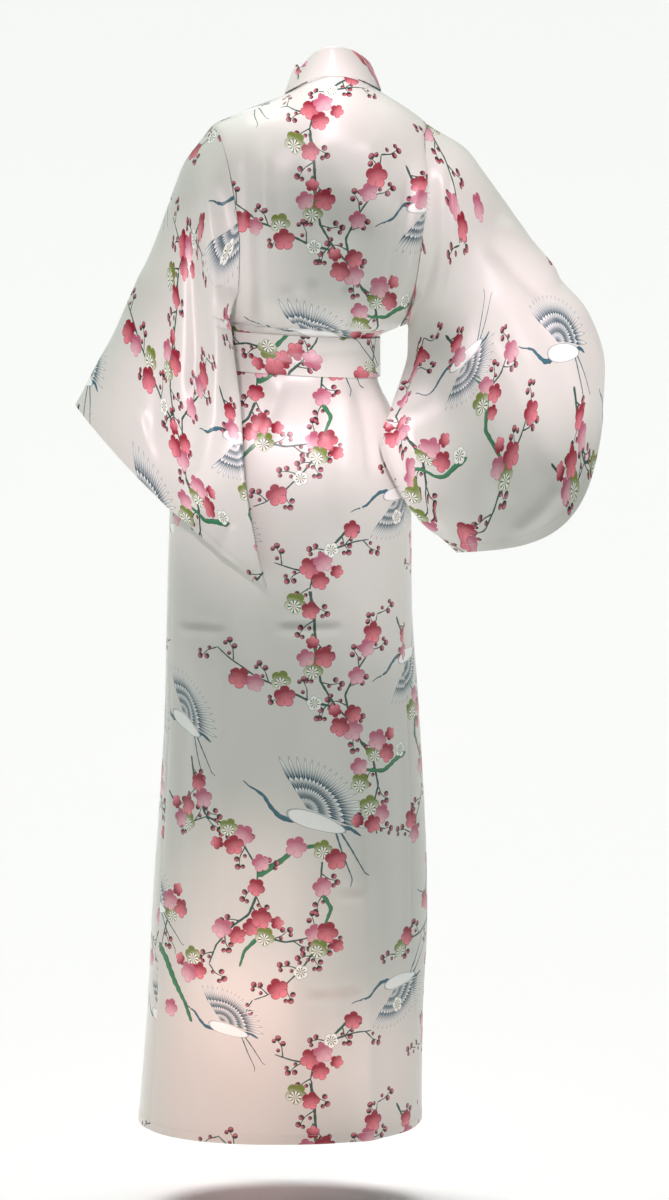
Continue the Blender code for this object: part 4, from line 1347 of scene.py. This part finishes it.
def makeSilk():
    # Silk satin (charmeuse), woven with long floats and screen printed: a broad soft gloss
    # that runs along the folds, over a print with soft washes of dye.
    material = bpy.data.materials.new("printed silk satin")
    material.use_nodes = True
    tree = material.node_tree
    shader = tree.nodes["Principled BSDF"]
    ink = inks(tree)
    colour = linear(silk["ground"])
    for layer in ("line2", "line3", "line1", "line0", "line4"):
        colour = paintStrokes(ink, colour, layer)
    for k in range(budLayers):
        colour = paintBuds(ink, colour, f"bud{k}")
    colour = paintCranes(ink, colour, "crane")
    for k in reversed(range(blossomLayers)):
        colour = paintBlossoms(ink, colour, f"blossom{k}")
    tree.links.new(colour, shader.inputs["Base Color"])
    shader.inputs["Roughness"].default_value = silk["roughness"]
    shader.inputs["Sheen Weight"].default_value = silk["sheen"]
    shader.inputs["Sheen Roughness"].default_value = silk["sheenRoughness"]
    shader.inputs["Specular IOR Level"].default_value = silk["gloss"]
    where = ink.add("TexCoord").node.outputs["Object"]
    stretched = ink.add("VectorMath", where, (1000.0, 1000.0, 260.0), operation="MULTIPLY")
    slub = ink.add("TexNoise", stretched, None, 1.0 / (silk["weave"] * 4.0), 2.0)
    bump = ink.add("Bump", silk["slubHeight"], 0.0006, None, slub)
    tree.links.new(bump, shader.inputs["Normal"])
    return material


def makeThread():
    # Polyester sewing thread, spun: a slightly darker, duller line than the satin it holds
    material = bpy.data.materials.new("spun sewing thread")
    material.use_nodes = True
    shader = material.node_tree.nodes["Principled BSDF"]
    shader.inputs["Base Color"].default_value = linear(silk["thread"])
    shader.inputs["Roughness"].default_value = 0.6
    return material


printedSilk = makeSilk()
sewingThread = makeThread()
for name, place in cloth.items():
    place["piece"].data.materials.append(printedSilk)
    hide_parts(name)
knot.data.materials.append(printedSilk)
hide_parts("sash_knot")
for piece in stitches.values():
    piece.data.materials.append(sewingThread)
print("materials made")


# ---- Floor, light and camera

studio = {
    "floorColour": "#FFF5FA",
    # the floor's profile from its middle outwards, as (distance, height), rising gently far away
    "floorLine": (
        (0.0, -1.50), (4.0, -1.50), (8.0, -1.50), (14.0, -1.46),
        (20.0, -1.30), (30.0, -0.80), (60.0, 2.4), (140.0, 16.0),
    ),
    "floorSteps": 72,
    "worldColour": "#A4F2CC",
    "worldStrength": 0.08,
    "suns": {
        "columns": ("place", "strength", "degrees", "colour"),
        "rows": (
            ((0.75, -1.1, 4.4), 2.60, 24.0, "#F7FFF9"),
            ((-0.9, -0.6, 4.4), 0.40, 24.0, "#F7FFF9"),
            ((0.5, -3.0, 2.6), 0.40, 30.0, "#FFFBFA"),
        ),
    },
    # Lamps behind the robe's back, each aimed at one place on it: where that is, and how wide it shines.
    "spotBack": 2.2,
    "spotAimBack": 0.09,
    "spotSpread": 2.5,         # how many times farther out than its aim a lamp stands
    "spotRise": 0.90,
    "spotRadius": 0.05,
    "spots": {
        "columns": ("part", "across", "height", "power", "degrees", "colour"),
        "rows": (
            ("collar", 0.004, 0.013, 170.0, 4.5, "#FFE8F0"),
            ("shoulders", 0.083, -0.040, 110.0, 6.0, "#FFE8F0"),
            ("shoulders", -0.088, -0.049, 130.0, 7.0, "#FFE8F0"),
            ("left sleeve", 0.215, -0.429, 130.0, 8.0, "#FFE8F0"),
            ("left sleeve", 0.156, -0.244, 110.0, 6.0, "#FFE8F0"),
            ("hips", 0.030, -0.422, 120.0, 6.0, "#FFE8F0"),
            ("hips", -0.036, -0.455, 125.0, 6.0, "#FFE8F0"),
            ("hips", 0.110, -0.548, 85.0, 7.0, "#FFE8F0"),
            ("skirt", -0.075, -0.640, 70.0, 7.0, "#FFE8F0"),
            ("right sleeve", -0.293, -0.323, 175.0, 8.0, "#FFE8F0"),
            ("right sleeve", -0.088, -0.469, 85.0, 5.0, "#FFE8F0"),
            ("foot of the skirt", 0.136, -1.300, 110.0, 10.0, "#FFC6BE"),
            ("foot of the skirt", -0.088, -1.300, 100.0, 7.0, "#FFDEDC"),
            ("foot of the skirt", 0.110, -1.115, 85.0, 9.0, "#FFDAD4"),
            ("right sleeve", -0.207, -0.165, 100.0, 7.0, "#FFE8F0"),
        ),
    },
}
view = {"place": (-0.002, 5.3, 0.0), "down": 7.34, "tall": 16.75}


def makeFloor():
    bm = bmesh.new()
    line = [bm.verts.new((distance, 0.0, height)) for distance, height in studio["floorLine"]]
    edges = [bm.edges.new(pair) for pair in zip(line, line[1:])]
    bmesh.ops.spin(
        bm, geom=line + edges, axis=(0.0, 0.0, 1.0), cent=(0.0, 0.0, 0.0),
        angle=2.0 * math.pi, steps=studio["floorSteps"],
    )
    bmesh.ops.remove_doubles(bm, verts=bm.verts[:], dist=1e-4)
    bmesh.ops.recalc_face_normals(bm, faces=bm.faces[:])
    if bm.faces[0].normal.z < 0.0:
        bmesh.ops.reverse_faces(bm, faces=bm.faces[:])
    mesh = meshFrom(bm, "floor")
    # Matt studio paper: no gloss, near white
    paper = bpy.data.materials.new("studio paper")
    paper.use_nodes = True
    shader = paper.node_tree.nodes["Principled BSDF"]
    shader.inputs["Base Color"].default_value = linear(studio["floorColour"])
    shader.inputs["Roughness"].default_value = 0.9
    mesh.materials.append(paper)
    mesh.shade_smooth()
    linked("floor", mesh)


def addLamp(name, kind, place, aim, power, colour):
    lamp = bpy.data.lights.new(name, kind)
    lamp.energy = power
    lamp.color = linear(colour)[:3]
    holder = linked(name, lamp)
    holder.location = place
    holder.rotation_euler = (Vector(aim) - Vector(place)).to_track_quat("-Z", "Y").to_euler()
    return lamp


def makeLights():
    for k, (place, strength, degrees, colour) in enumerate(studio["suns"]["rows"]):
        sun = addLamp(f"sun{k}", "SUN", place, (0.0, 0.0, 0.0), strength, colour)
        sun.angle = math.radians(degrees)
    for k, (part, across, height, power, degrees, colour) in enumerate(studio["spots"]["rows"]):
        place = (across * studio["spotSpread"], studio["spotBack"], height + studio["spotRise"])
        aim = (across, studio["spotAimBack"], height)
        spot = addLamp(f"{part} spot{k}", "SPOT", place, aim, power, colour)
        spot.spot_size = math.radians(degrees)
        spot.spot_blend = 1.0
        spot.shadow_soft_size = studio["spotRadius"]


def makeWorld():
    world = bpy.data.worlds.new("studio")
    world.use_nodes = True
    back = world.node_tree.nodes["Background"]
    back.inputs["Color"].default_value = linear(studio["worldColour"])
    back.inputs["Strength"].default_value = studio["worldStrength"]
    bpy.context.scene.world = world


def makeCamera():
    lens = bpy.data.cameras.new("camera")
    lens.sensor_fit = "VERTICAL"
    lens.angle = math.radians(view["tall"])
    lens.clip_end = 400.0
    camera = linked("camera", lens)
    camera.location = view["place"]
    camera.rotation_euler = (math.radians(90.0 - view["down"]), 0.0, math.pi)
    bpy.context.scene.camera = camera


makeFloor()
makeLights()
makeWorld()
makeCamera()
bpy.context.scene.view_settings.view_transform = "Standard"
print("studio made")
